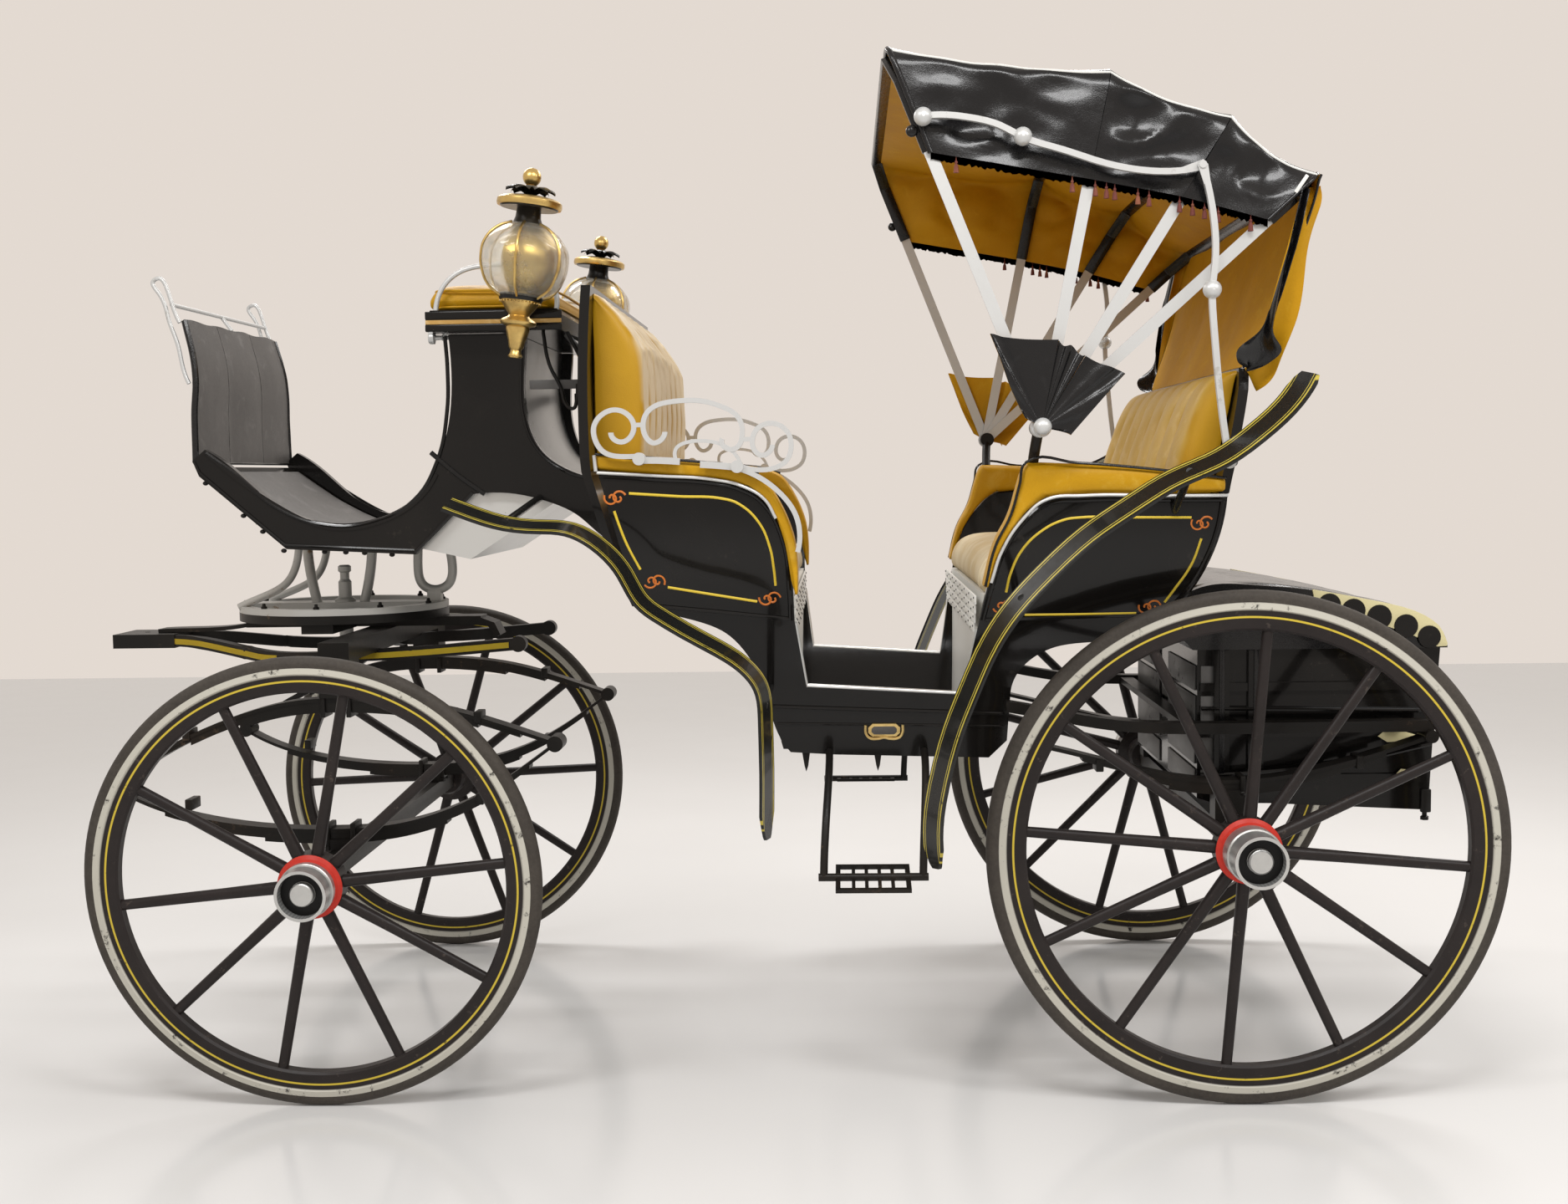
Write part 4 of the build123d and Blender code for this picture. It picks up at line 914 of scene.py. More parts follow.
class Workshop:
    """Turns meshes in carriage millimetres into dressed pieces on a body of the frame."""

    def __init__(self, looks: Looks) -> None:
        """Keeps the finishes."""
        self.looks = looks

    def piece(self, name: str, mesh: Mesh, look: str, body: str | None = "carriage",
              replaces: Sequence[str] = (), crisp: float = 38.0, slot: Slot | None = None) -> Piece:
        """Makes one piece.

        Args:
            name: Name of the piece.
            mesh: Its mesh, which is used up.
            look: Name of its finish.
            body: Body it rides on, or none.
            replaces: Nodes of the frame it stands for.
            crisp: Edges sharper than this many degrees stay sharp.
            slot: Slot of the record, where it isn't the finish's usual one; not used.

        Returns:
            The piece.
        """
        bmesh.ops.transform(mesh, matrix=FRAME, verts=mesh.verts[:])
        bmesh.ops.recalc_face_normals(mesh, faces=mesh.faces[:])
        data = bpy.data.meshes.new(name)
        mesh.to_mesh(data)
        mesh.free()
        data.materials.append(self.looks[look])
        data.shade_smooth()
        data.set_sharp_from_angle(angle=math.radians(crisp))
        piece = bpy.data.objects.new(name, data)
        bpy.context.scene.collection.objects.link(piece)
        if body:
            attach(piece, body)
        if replaces:
            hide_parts(*replaces)
        LOG.info("made %s with %d faces", name, len(data.polygons))
        return piece

    def cloth(self, name: str, mesh: Mesh, wall: float, look: str, body: str | None, wide: float,
              held: str, rests_on: Sequence[str],
              replaces: Sequence[str] = ()) -> Piece:
        """Args:
            name: Name of the sheet.
            mesh: Its open mesh.
            wall: Thickness in millimetres.
            look: Name of its finish.
            body: Body it rides on, or none.
            wide: Width of the cut, in millimetres.
            held: How it is held; not used.
            rests_on: What carries it; not used.
            replaces: Nodes of the frame it stands for.

        Returns:
            The sheet.
        """
        area = sum(face.calc_area() for face in mesh.faces) / 1e6
        bmesh.ops.recalc_face_normals(mesh, faces=mesh.faces[:])
        bmesh.ops.solidify(mesh, geom=mesh.faces[:], thickness=wall)
        piece = self.piece(name, mesh, look, body, replaces, 60.0)
        area / wide * 1000
        return piece

    def puff(self, piece: Piece, voxel: float, rise: float, pressure: float = 4.0,
             hold: Callable[[int], bool] | None = None) -> None:
        """Swells a cushion by cloth simulation and keeps the result.

        Args:
            piece: The cushion, with no modifiers.
            voxel: Size of the remeshed faces in millimetres; 0 keeps the mesh.
            rise: Farthest that a point may move, in millimetres.
            pressure: Pressure inside.
            hold: Says by number which points stay where they are.
        """
        if voxel:
            remesh = piece.modifiers.new("remesh", "REMESH")
            remesh.mode = "VOXEL"
            remesh.voxel_size = voxel / 1000
            self.keep(piece)
        rest = [vert.co.copy() for vert in piece.data.vertices]
        cloth = piece.modifiers.new("cloth", "CLOTH")
        cloth.settings.effector_weights.gravity = 0.0
        cloth.settings.use_pressure = True
        cloth.settings.uniform_pressure_force = pressure
        cloth.settings.quality = 4
        cloth.settings.tension_stiffness = 8.0
        cloth.settings.compression_stiffness = 8.0
        cloth.settings.bending_stiffness = 0.4
        cloth.collision_settings.use_collision = False
        if hold:
            group = piece.vertex_groups.new(name="held")
            group.add([k for k in range(len(rest)) if hold(k)], 1.0, "REPLACE")
            cloth.settings.vertex_group_mass = "held"
        scene = bpy.context.scene
        for frame in range(1, 21):
            scene.frame_set(frame)
        self.keep(piece)
        scene.frame_set(1)
        for vert, spot in zip(piece.data.vertices, rest):
            step = vert.co - spot
            if step.length > rise / 1000:
                vert.co = spot + step.normalized() * rise / 1000

    def keep(self, piece: Piece) -> None:
        """Makes the piece's modifiers its mesh."""
        graph = bpy.context.evaluated_depsgraph_get()
        data = bpy.data.meshes.new_from_object(piece.evaluated_get(graph))
        old = piece.data
        piece.modifiers.clear()
        piece.vertex_groups.clear()
        piece.data = data
        bpy.data.meshes.remove(old)
        data.shade_smooth()

    def divide(self, piece: Piece) -> None:
        """Adds one subdivision and keeps it."""
        surface = piece.modifiers.new("smooth", "SUBSURF")
        surface.levels = 1
        surface.render_levels = 1
        self.keep(piece)


def on_pivot(angle: float, radius: float) -> tuple[float, float]:
    """A place in X and Z at an angle and a distance from the hood's pivot."""
    turn = math.radians(angle)
    return PIVOT[0] + radius * math.cos(turn), PIVOT[1] + radius * math.sin(turn)


@dataclass
class Hood:
    """The half hood: leather and lining over four bows, flaps at the pivots and the curtain behind."""

    shop: Workshop
    bodies: tuple[str, ...] = ("hood_rear", "hood_third", "hood_second", "hood_front")
    bows: tuple[str, ...] = ("bow_rear", "bow_third", "bow_second", "bow_front")
    roofs_of: tuple[str, ...] = ("hood_roof_rear", "hood_roof_middle", "hood_roof_front")
    angles: tuple[float, ...] = (41.8, 58.0, 78.6, 111.6)
    roofs: tuple[float, ...] = (796.0, 774.0, 772.0, 876.0)
    lows: tuple[float, ...] = (651.0, 573.0, 538.0, 635.0)
    half: float = 714.0
    corner: float = 40.0
    stand: float = 7.0
    tassels: dict[tuple[int, int], tuple[float, ...]] = field(default_factory=lambda: {
        (2, -1): (0.84, 0.11), (1, -1): (0.94, 0.82, 0.73, 0.48, 0.36, 0.03),
        (0, -1): (0.88, 0.74, 0.58, 0.2),
        (2, 1): (0.14,), (1, 1): (0.82, 0.71, 0.61, 0.27, 0.17, 0.08), (0, 1): (0.95, 0.82, 0.02),
    })
    flap_edges: tuple[tuple[tuple[float, float], ...], ...] = (
        ((-12.0, 60.0), (-10.0, 66.0), (31.0, 208.0), (42.0, 196.0), (58.0, 178.0)),
        ((58.5, 178.0), (78.5, 188.0)),
        ((79.0, 190.0), (113.0, 215.0), (119.0, 225.0), (126.0, 120.0), (150.0, 40.0)),
    )

    def skin(self, span: int, along: float, over: float, inset: float) -> Spot:
        """A place on the leather.

        Args:
            span: Number of the span, from the rear.
            along: Share of the way from its rear bow to its front bow.
            over: Share of the way from the near lower edge over the roof to the far one.
            inset: Distance inside the outer face.

        Returns:
            The place in carriage millimetres.
        """
        low0 = on_pivot(self.angles[span], self.lows[span])
        low1 = on_pivot(self.angles[span + 1], self.lows[span + 1])
        top0 = on_pivot(self.angles[span], self.roofs[span] + self.stand)
        top1 = on_pivot(self.angles[span + 1], self.roofs[span + 1] + self.stand)
        low = Vector(low0).lerp(Vector(low1), along)
        top = Vector(top0).lerp(Vector(top1), along)
        height = (top - low).length
        side = height - self.corner
        bend = math.pi / 2 * self.corner
        length = 2 * side + 2 * bend + 2 * (self.half - self.corner)
        way = over * length
        sign = -1 if way < length / 2 else 1
        way = min(way, length - way)
        if way < side:
            y, up, out, over_top = self.half, way, 1.0, 0.0
        elif way < side + bend:
            turn = (way - side) / self.corner
            y = self.half - self.corner * (1 - math.cos(turn))
            up = side + self.corner * math.sin(turn)
            out, over_top = math.cos(turn), math.sin(turn)
        else:
            y, up, out, over_top = self.half - self.corner - (way - side - bend), height, 0.0, 1.0
        belly = 4 * along * (1 - along)
        spot = low + (top - low) * (up / height)
        base = (spot.x, sign * y, spot.y)
        folds = abs(noise.noise(Vector((base[0] / 150, base[1] / 900 + 3.1, base[2] / 90)))) * 2
        fine = rough(base, 70.0)
        hem = min(up / 70.0, 1.0)
        bulge = 7.0 * math.sin(math.pi * min(up / height, 1.0))
        side_pull = belly * hem * (bulge + 21.0 * folds + 8.0 * fine)
        roof_pull = belly * (13.0 + 5.0 * folds + 3.0 * fine)
        y -= out * (side_pull + inset)
        inward = (top - low).normalized() * (over_top * (roof_pull + inset))
        return spot.x - inward.x, sign * y, spot.y - inward.y

    def blended(self, piece: Piece, span: int, radii: Sequence[float]) -> None:
        """Bakes a piece's placement into its mesh."""
        start = on_pivot(self.angles[span], radii[0])
        end = on_pivot(self.angles[span + 1], radii[1])
        tuple(place(start[0], 0, start[1]))
        tuple(place(end[0], 0, end[1]))
        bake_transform(piece)

    def spans(self) -> None:
        """Makes the leather, lining, piping and fringe between the bows."""
        for span, node in enumerate(self.roofs_of):
            radii = self.lows[span:span + 2]
            rests = self.bows[span:span + 2]
            gap = math.dist(on_pivot(self.angles[span], 800), on_pivot(self.angles[span + 1], 800))
            leather = self.shop.cloth(
                f"hood_leather_{span}", drape(26, 170, lambda u, v: self.skin(span, u, v, 1.5)), 2.5,
                "hood_hide", None, gap, "stretched", rests, [node])
            self.blended(leather, span, radii)
            lining = self.shop.cloth(
                f"hood_lining_{span}",
                drape(26, 150, lambda u, v: self.skin(span, u, 0.002 + 0.996 * v, 7.0)), 1.5,
                "lining_hide", None, gap, "stretched", rests)
            self.blended(lining, span, radii)
            # pale cord that also stands for the painted highlight along the roof edges
            self.blended(self.shop.piece(f"hood_piping_{span}", self.piping(span), "white_paint", None),
                         span, radii)
            self.blended(self.shop.piece(f"hood_fringe_{span}", self.fringe(span), "fringe_yarn",
                                         None), span, radii)

    def roof_corner(self, span: int) -> float:
        """Share over the section at which the near side turns into the roof."""
        height = self.roofs[span] + self.stand - self.lows[span]
        side = height - self.corner
        bend = math.pi / 2 * self.corner
        length = 2 * side + 2 * bend + 2 * (self.half - self.corner)
        return (side + bend * 0.5) / length

    def piping(self, span: int) -> Mesh:
        """The pale cord along both roof edges; its pale paint also stands for a painted highlight along them.
        """
        share = self.roof_corner(span), self.roof_corner(span + 1)
        runs = []
        for far in (False, True):
            points = []
            for k in range(9):
                along = k / 8
                over = share[0] + (share[1] - share[0]) * along
                points.append(self.skin(span, along, 1 - over if far else over, -1.5))
            runs.append(Run(points, 2.6))
        return bars(runs, 2, 3)

    def fringe(self, span: int) -> Mesh:
        """The ragged braid under both lower edges, with its tassels."""
        meshes = []
        for side in Side:
            over = 0.0 if side is Side.NEAR else 1.0

            def hung(u: float, v: float) -> Spot:
                """A place on the braid, whose lower edge is ragged."""
                x, y, z = self.skin(span, u, over, 4.0)
                ragged = 9 + 13 * rough((x * 9, y, 0), 60.0)
                return x, y - side.value * 1.5, z + 3 - ragged * v

            band = drape(70, 3, hung)
            bmesh.ops.solidify(band, geom=band.faces[:], thickness=1.6)
            meshes.append(band)
            for share in self.tassels[(span, side.value)]:
                x, y, z = self.skin(span, share, over, 5.0)
                tuft = turned([(0, 2), (1.2, 1), (1.2, -7), (3.2, -9), (3.6, -12), (2.2, -14), (4.6, -19),
                               (6, -33), (0, -32)], 10)
                bmesh.ops.translate(tuft, verts=tuft.verts[:], vec=(x, y, z))
                meshes.append(tuft)
        return joined(meshes)

    def bow_frame(self, number: int) -> Matrix:
        """Axes of a bow: across, ahead, and out from the pivot."""
        turn = math.radians(self.angles[number])
        return Matrix(((0, math.sin(turn), math.cos(turn), PIVOT[0]), (1, 0, 0, 0),
                       (0, -math.cos(turn), math.sin(turn), PIVOT[1]), (0, 0, 0, 1)))

    def ribs(self) -> None:
        """Makes the dark sleeves round the bows inside the hood."""
        for number, body in enumerate(self.bodies):
            roof, low = self.roofs[number], self.lows[number]
            right = [(705, low + 6), (702, roof - 70), (631, roof + 0.8)]
            inner = [(626, roof - 8.5), (691, roof - 74), (693, low + 6)]
            outline = [(-y, r) for y, r in right] + right[::-1] + inner[::-1] + [(-y, r) for y, r in inner]
            sleeve = moved(slab(outline, -15.5, 15.5, 2.0), self.bow_frame(number))
            self.shop.piece(f"hood_rib_{number}", sleeve, "hood_hide", body)

    def edges(self) -> None:
        """Makes the bound front and rear edges with their knobs and the pale clip."""
        front = [self.skin(2, 1.0, k / 40, 1.5) for k in range(41)]
        meshes = [bars([Run(front, 6.5)], 3, 2)]
        for side in Side:
            x, z = on_pivot(112.6, 690)
            meshes.append(knob((x - 9, side.value * 712, z), 13, (1, 0.7, 1)))
        self.shop.piece("hood_front_edge", joined(meshes), "hood_hide", "hood_front")
        rear = [self.skin(0, 0.0, k / 40, 1.5) for k in range(41)]
        self.shop.piece("hood_rear_edge", bars([Run(rear, 5.0)], 3, 2), "hood_hide", "hood_rear")
        x, z = on_pivot(42.5, 752)
        clip = block((-4, -717.5, -22), (4, -714, 22), 1.2)
        place_clip = Matrix.Translation((x, 0, z)) @ Matrix.Rotation(math.radians(35), 4, "Y")
        self.shop.piece("hood_clip", moved(clip, place_clip), "white_paint", "hood_rear")
        balls = both(lambda side: knob((PIVOT[0], side * 745, PIVOT[1]), 19.8))
        self.shop.piece("hood_pivot_balls", balls, "silver_paint")

    def flaps(self) -> None:
        """Makes the pleated fans at the pivots, black outside and mustard inside."""
        pleats = (3.0, 2.0, 2.0)
        for span, table in enumerate(self.flap_edges):
            rim = [on_pivot(angle, radius) for angle, radius in table]

            def fan(u: float, v: float, side: int, y: float) -> Spot:
                """A place on a flap: u round its rim, v out from the pivot."""
                spot = u * (len(rim) - 1)
                k = min(int(spot), len(rim) - 2)
                edge = Vector(rim[k]).lerp(Vector(rim[k + 1]), spot - k)
                out = 0.07 + 0.93 * v
                fold = math.sin(2 * math.pi * pleats[span] * u)
                crisp = math.copysign(abs(fold) ** 0.6, fold) * 4.2 * out
                wave = (rough((edge.x * 2, side * 99, edge.y * out), 60.0) - 0.5) * 3 * out
                dip = 5 * out ** 6 * math.sin(math.pi * 3 * u)
                x = PIVOT[0] + (edge.x - PIVOT[0]) * out
                z = PIVOT[1] + (edge.y - PIVOT[1]) * out
                return x, side * (y + crisp + wave), z - dip

            for name, look, y in (("flap", "hood_hide", 731.5), ("flap_lining", "lining_hide", 727.5)):
                mesh = both(lambda side: drape(34, 14, lambda u, v: fan(u, v, side, y)))
                piece = self.shop.cloth(f"hood_{name}_{span}", mesh, 1.6, look, None, 200.0, "gathered",
                                        self.bows[span:span + 2])
                self.blended(piece, span, (60.0, 60.0))

    def curtain(self) -> None:
        """Makes the curtain from the rear bow to the seat back, with its dark leaf-shaped strips."""
        line = [(1013, 1652), (1036, 1694), (1068, 1762), (1098, 1846), (1122, 1935), (1138, 2010),
                (1142, 2050)]

        def hang(u: float, v: float, off: float = 0.0) -> Spot:
            """A place on the curtain: u across from the near edge, v up from the seat back."""
            x, z = flow(line, v)
            half = 556 + 146 * min(v * 1.25, 1.0) ** 0.8
            y = (2 * u - 1) * half
            loose = math.sin(math.pi * min(max(v, 0.0), 1.0)) ** 0.7
            wave = 6 * math.sin(u * 19) * loose + 9 * (rough((y, 0, z * 0.4), 240.0) - 0.5) * loose
            edge = 10 * loose * abs(2 * u - 1) ** 6
            return x + wave + off - edge, y, z

        sheet = self.shop.cloth("back_curtain_leather", drape(90, 50, hang), 3.0, "lining_hide", None,
                                1300.0, "hung", ["bow_rear", "rear_back"], ["back_curtain"])
        middle = [(1012, 1648), (1030, 1690), (1042, 1735), (1052, 1790), (1076, 1900), (1106, 2022)]

        def leaf(u: float, v: float, side: int) -> Spot:
            """A place on the dark turned-out edge, widest low down and pointed at both ends."""
            x, z = flow(middle, v)
            half = (7 + 40 * math.exp(-((v - 0.17) / 0.14) ** 2)) * min(v / 0.06, 1.0) ** 0.6
            edge = 592 + 122 * min(v * 1.25, 1.0) ** 0.8
            y = side * (edge + 9 * math.sin(u * 6 + v * 9))
            return x + (2 * u - 1) * half, y, z + 6 * math.sin(u * 5)

        outer = [(1042, 1598), (1075, 1642), (1102, 1737), (1125, 1879), (1144, 1988), (1150, 2030)]

        def lobe(u: float, v: float, side: int) -> Spot:
            """A place on the pale outer edge: u from the leaf outwards, v up."""
            start, end = flow(middle, v), flow(outer, v)
            x, z = (a + (b - a) * u for a, b in zip(start, end))
            edge = 560 + 122 * min(v * 1.25, 1.0) ** 0.8
            return x + 4 * math.sin(v * 17) * u, side * (edge + 8 * math.sin(u * 5 + v * 7)), z

        lobes = both(lambda side: drape(10, 40, lambda u, v: lobe(u, v, side)))
        bmesh.ops.solidify(lobes, geom=lobes.faces[:], thickness=2.0)
        edge_piece = self.shop.piece("back_curtain_edges", lobes, "lining_hide", None)
        leaves = both(lambda side: drape(14, 40, lambda u, v: leaf(u, v, side)))
        bmesh.ops.solidify(leaves, geom=leaves.faces[:], thickness=2.0)
        strips = [leaves]
        for side in Side:
            rim = [hang(0.0 if side is Side.NEAR else 1.0, k / 14, -1.0) for k in range(15)]
            strips.append(bars([Run(rim, 3.0)], 2, 3))
        strip = self.shop.piece("back_curtain_strips", joined(strips), "hood_hide", None)
        for piece in (sheet, strip, edge_piece):
            tuple(place(1015, 0, 1660))
            tuple(place(1138, 0, 2020))
            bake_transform(piece)

    def build(self) -> None:
        """Builds the hood."""
        self.spans()
        self.ribs()
        self.edges()
        self.flaps()
        self.curtain()


def inset_ring(section: Plan, inset: float) -> list[tuple[float, float]]:
    """A closed outline drawn in by a distance."""
    count = len(section)
    area = sum(a[0] * b[1] - b[0] * a[1] for a, b in zip(section, [*section[1:], section[0]]))
    sign = 1 if area > 0 else -1
    ring = []
    for k in range(count):
        (x0, z0), (x1, z1) = section[k - 1], section[(k + 1) % count]
        length = max(math.hypot(x1 - x0, z1 - z0), 0.001)
        x, z = section[k]
        ring.append((x - sign * (z1 - z0) / length * inset, z + sign * (x1 - x0) / length * inset))
    return ring


def lofted(rings: Sequence[Places]) -> Mesh:
    """Skins closed rings with equal counts of points and closes the two ends."""
    mesh = bmesh.new()
    rows = [[mesh.verts.new(spot) for spot in ring] for ring in rings]
    loops = [[mesh.edges.new((a, b)) for a, b in zip(row, [*row[1:], row[0]])] for row in rows]
    for first, second in zip(loops, loops[1:]):
        bmesh.ops.bridge_loops(mesh, edges=first + second)
    for row in (rows[0], rows[-1]):
        mesh.faces.new(row)
    return mesh


def pad(section: Plan, low: float, high: float, edge: float, middle: int = 30,
        shape: Callable[[float, float, float], Sequence[float]] | None = None) -> Mesh:
    """A closed pad: an outline in X and Z drawn out across Y, with rounded, closed ends.

    Args:
        section: The outline.
        low: Lowest Y.
        high: Highest Y.
        edge: Radius of the rounded ends.
        middle: Divisions between the ends.
        shape: Moves a point given its place.

    Returns:
        The mesh.
    """
    stations = [(low + edge * (1 - math.cos(math.pi / 10 * k)), edge * (1 - math.sin(math.pi / 10 * k)))
                for k in range(6)]
    span = high - low - 2 * edge
    stations += [(low + edge + span * k / middle, 0.0) for k in range(1, middle)]
    stations += [(high + low - y, inset) for y, inset in stations[5::-1]]
    rings = [inset_ring(section, inset) for _, inset in stations]
    return lofted([[shape(x, y, z) if shape else (x, y, z) for x, z in ring]
                   for (y, _), ring in zip(stations, rings)])


def band(top: Plan, low: Plan, inner: float, outer: float, count: int) -> Mesh:
    """A padded band between two lines of X and Z, from inner to outer in Y, with rounded edges."""
    rings = []
    for (x1, z1), (x0, z0) in zip(smooth_line(top, count), smooth_line(low, count)):
        ring = []
        for k in range(28):
            turn = 2 * math.pi * k / 28
            across = math.copysign(abs(math.cos(turn)) ** 0.42, math.cos(turn))
            up = math.copysign(abs(math.sin(turn)) ** 0.42, math.sin(turn)) * 0.5 + 0.5
            bulge = 2.5 * (1 - across * across) * max(up - 0.5, 0)
            ring.append((x0 + (x1 - x0) * up, (inner + outer) / 2 + (outer - inner) / 2 * across,
                         z0 + (z1 - z0) * up + bulge))
        rings.append(ring)
    return lofted(rings)


@dataclass
class Seats:
    """The passengers' seats, backs and arms, and the cushion of the driver's box."""

    shop: Workshop
    half: float = 520.0
    channels: int = 8
    front_face: tuple[tuple[float, float], ...] = (
        (-352, 1442), (-342, 1490), (-339, 1600), (-349, 1715), (-390, 1793), (-432, 1836))
    front_rear: tuple[tuple[float, float], ...] = (
        (-455, 1442), (-460, 1520), (-461, 1600), (-460, 1700), (-460, 1800), (-455, 1848))
    rear_face: tuple[tuple[float, float], ...] = (
        (841, 1256), (849, 1340), (863, 1430), (903, 1555), (943, 1626), (984, 1644))
    rear_rear: tuple[tuple[float, float], ...] = (
        (913, 1248), (930, 1292), (944, 1372), (966, 1478), (985, 1566), (998, 1646))

    def back(self, name: str, face: Plan, rear: Plan, half: float, tufts: Sequence[float], ahead: int,
             node: str) -> None:
        """Makes a tufted back with a plain side gusset.

        Args:
            name: Name of the piece.
            face: The front of the section, from the seat up.
            rear: The back of it, from the seat up.
            half: Half the width.
            tufts: Heights of the rows of buttons, as shares.
            ahead: Sign of the direction that the front faces along X.
            node: Node of the frame it stands for.
        """
        columns, rows = self.channels * 10, 44
        edge = 26.0

        def hollow_at(u: float, v: float) -> float:
            """How deep a place is in the channels and round the buttons, from 0 to 1."""
            lane = u * self.channels
            away = abs(lane - round(lane))
            pull = math.exp(-(away / 0.10) ** 2) * 0.55
            for tuft in tufts:
                spread = math.exp(-((v - tuft) / 0.07) ** 2)
                pull += math.exp(-(away / 0.17) ** 2) * spread * 0.75
            return min(pull, 1.0)

        def front(u: float, v: float) -> Spot:
            """A place on the front panel."""
            x, z = flow(face, v)
            y = (2 * u - 1) * half
            side = min(u, 1 - u) * 2 * half
            round_off = edge * (1 - math.sqrt(max(0.0, 1 - (1 - min(side / edge, 1.0)) ** 2)))
            border = min(side / 50.0, 1.0) * min(v / 0.06, 1.0) * min((1 - v) / 0.05, 1.0)
            deep = hollow_at(u, v) * 20.0 * border
            crease = (rough((x, y, z), 45.0) - 0.5) * 2.5 * border
            plump = 5.0 * border * math.sin(math.pi * v)
            return x - ahead * (round_off + deep - plump + crease), y, z

        panel = bmesh.new()
        layer = panel.verts.layers.float.new("hollow")
        bmesh.ops.create_grid(panel, x_segments=columns, y_segments=rows, size=0.5)
        for vert in panel.verts:
            u, v = vert.co.x + 0.5, vert.co.y + 0.5
            # the hollow layer also says where the tufted finish shows plain mustard instead of its pale
            # painted sheen
            vert[layer] = max(hollow_at(u, v), 1 - min(min(u, 1 - u) * 2 * half / 26.0, 1.0))
            vert.co = Vector(front(u, v))
        behind = bmesh.ops.create_grid(panel, x_segments=columns, y_segments=rows, size=0.5)
        for vert in behind["verts"]:
            x, z = flow(rear, vert.co.y + 0.5)
            vert.co = Vector((x, 2 * vert.co.x * (half - 3.0), z))
            vert[layer] = 1.0
        rims = [rim for rim in panel.edges if rim.is_boundary]
        walls = bmesh.ops.bridge_loops(panel, edges=rims)["edges"]
        bmesh.ops.subdivide_edges(panel, edges=walls, cuts=3, use_grid_fill=True)
        look = "tufted_front" if ahead > 0 else "tufted_rear"
        piece = self.shop.piece(name, panel, look, "carriage", [node], 50.0)
        self.shop.puff(piece, 0, 9.0, 3.0, self.sewn(piece))
        self.shop.divide(piece)

    def sewn(self, piece: Piece) -> Callable[[int], bool]:
        """Says which points of a back are sewn down."""
        values = piece.data.attributes["hollow"].data
        return lambda index: values[index].value > 0.5

    def seat(self, name: str, section: Plan, half: float, look: str, node: str, swell: float,
             rest_z: float) -> Piece:
        """Makes a loose cushion that is flat where it rests.

        Args:
            name: Name of the piece.
            section: Its outline in X and Z.
            half: Half its width.
            look: Its finish.
            node: Node of the frame it stands for.
            swell: Rise of its crown in millimetres.
            rest_z: Height of what it rests on.

        Returns:
            The cushion.
        """
        high = max(z for _, z in section)

        def crown(x: float, y: float, z: float) -> Spot:
            """Raises the middle and draws the sides in between the corners."""
            up = max(z - rest_z, 0) / (high - rest_z)
            span = 1 - min(abs(y) / half, 1.0) ** 2.4
            lump = (rough((x, y, z), 140.0) - 0.5) * 7.0
            return x, y * (1 - 0.006 * up * span), z + up ** 2 * (swell * span + lump * span)

        mesh = pad(section, -half, half, 24.0, 44, crown)
        piece = self.shop.piece(name, mesh, look, "carriage", [node], 50.0)
        self.shop.puff(piece, 14.0, 9.0, 4.0)
        for vert in piece.data.vertices:
            if vert.co.z < (rest_z + 1.0) / 1000:
                vert.co.z = (rest_z + 0.4) / 1000
        self.shop.divide(piece)
        return piece

    def arms(self) -> None:
        """Makes the padded arm bands with their dark piping."""
        front = (
            [(-443, 1476), (-355, 1469), (-253, 1459), (-150, 1447), (-72, 1425), (-28, 1358), (-4, 1290),
             (4, 1225), (3.6, 1156)],
            [(-440, 1442), (-355, 1436), (-256, 1428.5), (-160, 1419), (-96, 1398), (-46, 1346),
             (-21.5, 1285), (-10, 1222), (-3, 1156)],
            [(-441, 1478), (-355, 1472), (-253, 1462), (-150, 1450), (-76, 1431)],
        )
        rear = (
            [(423, 1168), (447, 1262), (481, 1330), (500, 1394), (514, 1440), (536, 1443), (640, 1437),
             (741, 1430), (850, 1417), (957, 1402)],
            [(434, 1165), (459, 1258), (504, 1326), (530, 1351), (556, 1366.5), (580, 1370), (650, 1375.5),
             (741, 1374.5), (850, 1373.5), (957, 1374)],
            [(424, 1172), (447, 1262), (481, 1330), (501, 1398), (515, 1446), (630, 1443), (741, 1433),
             (850, 1420), (954, 1405)],
        )
        for name, (top, low, piping) in (("front_arm", front), ("rear_arm", rear)):
            mesh = both(lambda side: band(top, low, side * 572, side * 651, 44))
            piece = self.shop.piece(name + "s", mesh, "mustard_hide", "carriage", [name + "_pads"], 50.0)
            self.shop.puff(piece, 0, 3.0, 2.0)
            self.shop.divide(piece)
            cord = bars([Run([(x, side.value * 651, z) for x, z in piping], 3.2) for side in Side], 2, 6)
            self.shop.piece(name + "s_piping", cord, "hood_hide")

    def box(self) -> None:
        """Makes the driver's cushion with its piped edges."""
        section = smooth_line([(-866, 1825.5), (-873, 1846), (-860, 1870), (-834, 1879), (-720, 1879),
                               (-600, 1872), (-566, 1864), (-554, 1845), (-558, 1825.5)], 60)
        section += [(x, 1825.5) for x in (-620, -700, -780, -840)]
        self.seat("driver_cushion", section, 406.0, "mustard_hide", "box_cushion", 3.0, 1824.3)
        ring = []
        for k in range(48):
            turn = 2 * math.pi * k / 48
            x = math.copysign(abs(math.cos(turn)) ** 0.25, math.cos(turn)) * 152 - 713
            y = math.copysign(abs(math.sin(turn)) ** 0.25, math.sin(turn)) * 403
            ring.append((x, y, 1871 + (x + 713) * -0.012))
        low_ring = [(x, y, 1833.0) for x, y, _ in ring]
        cord = bars([Run(ring, 3.4, True), Run(low_ring, 3.0, True)], 2, 2)
        self.shop.piece("driver_cushion_piping", cord, "mustard_hide")

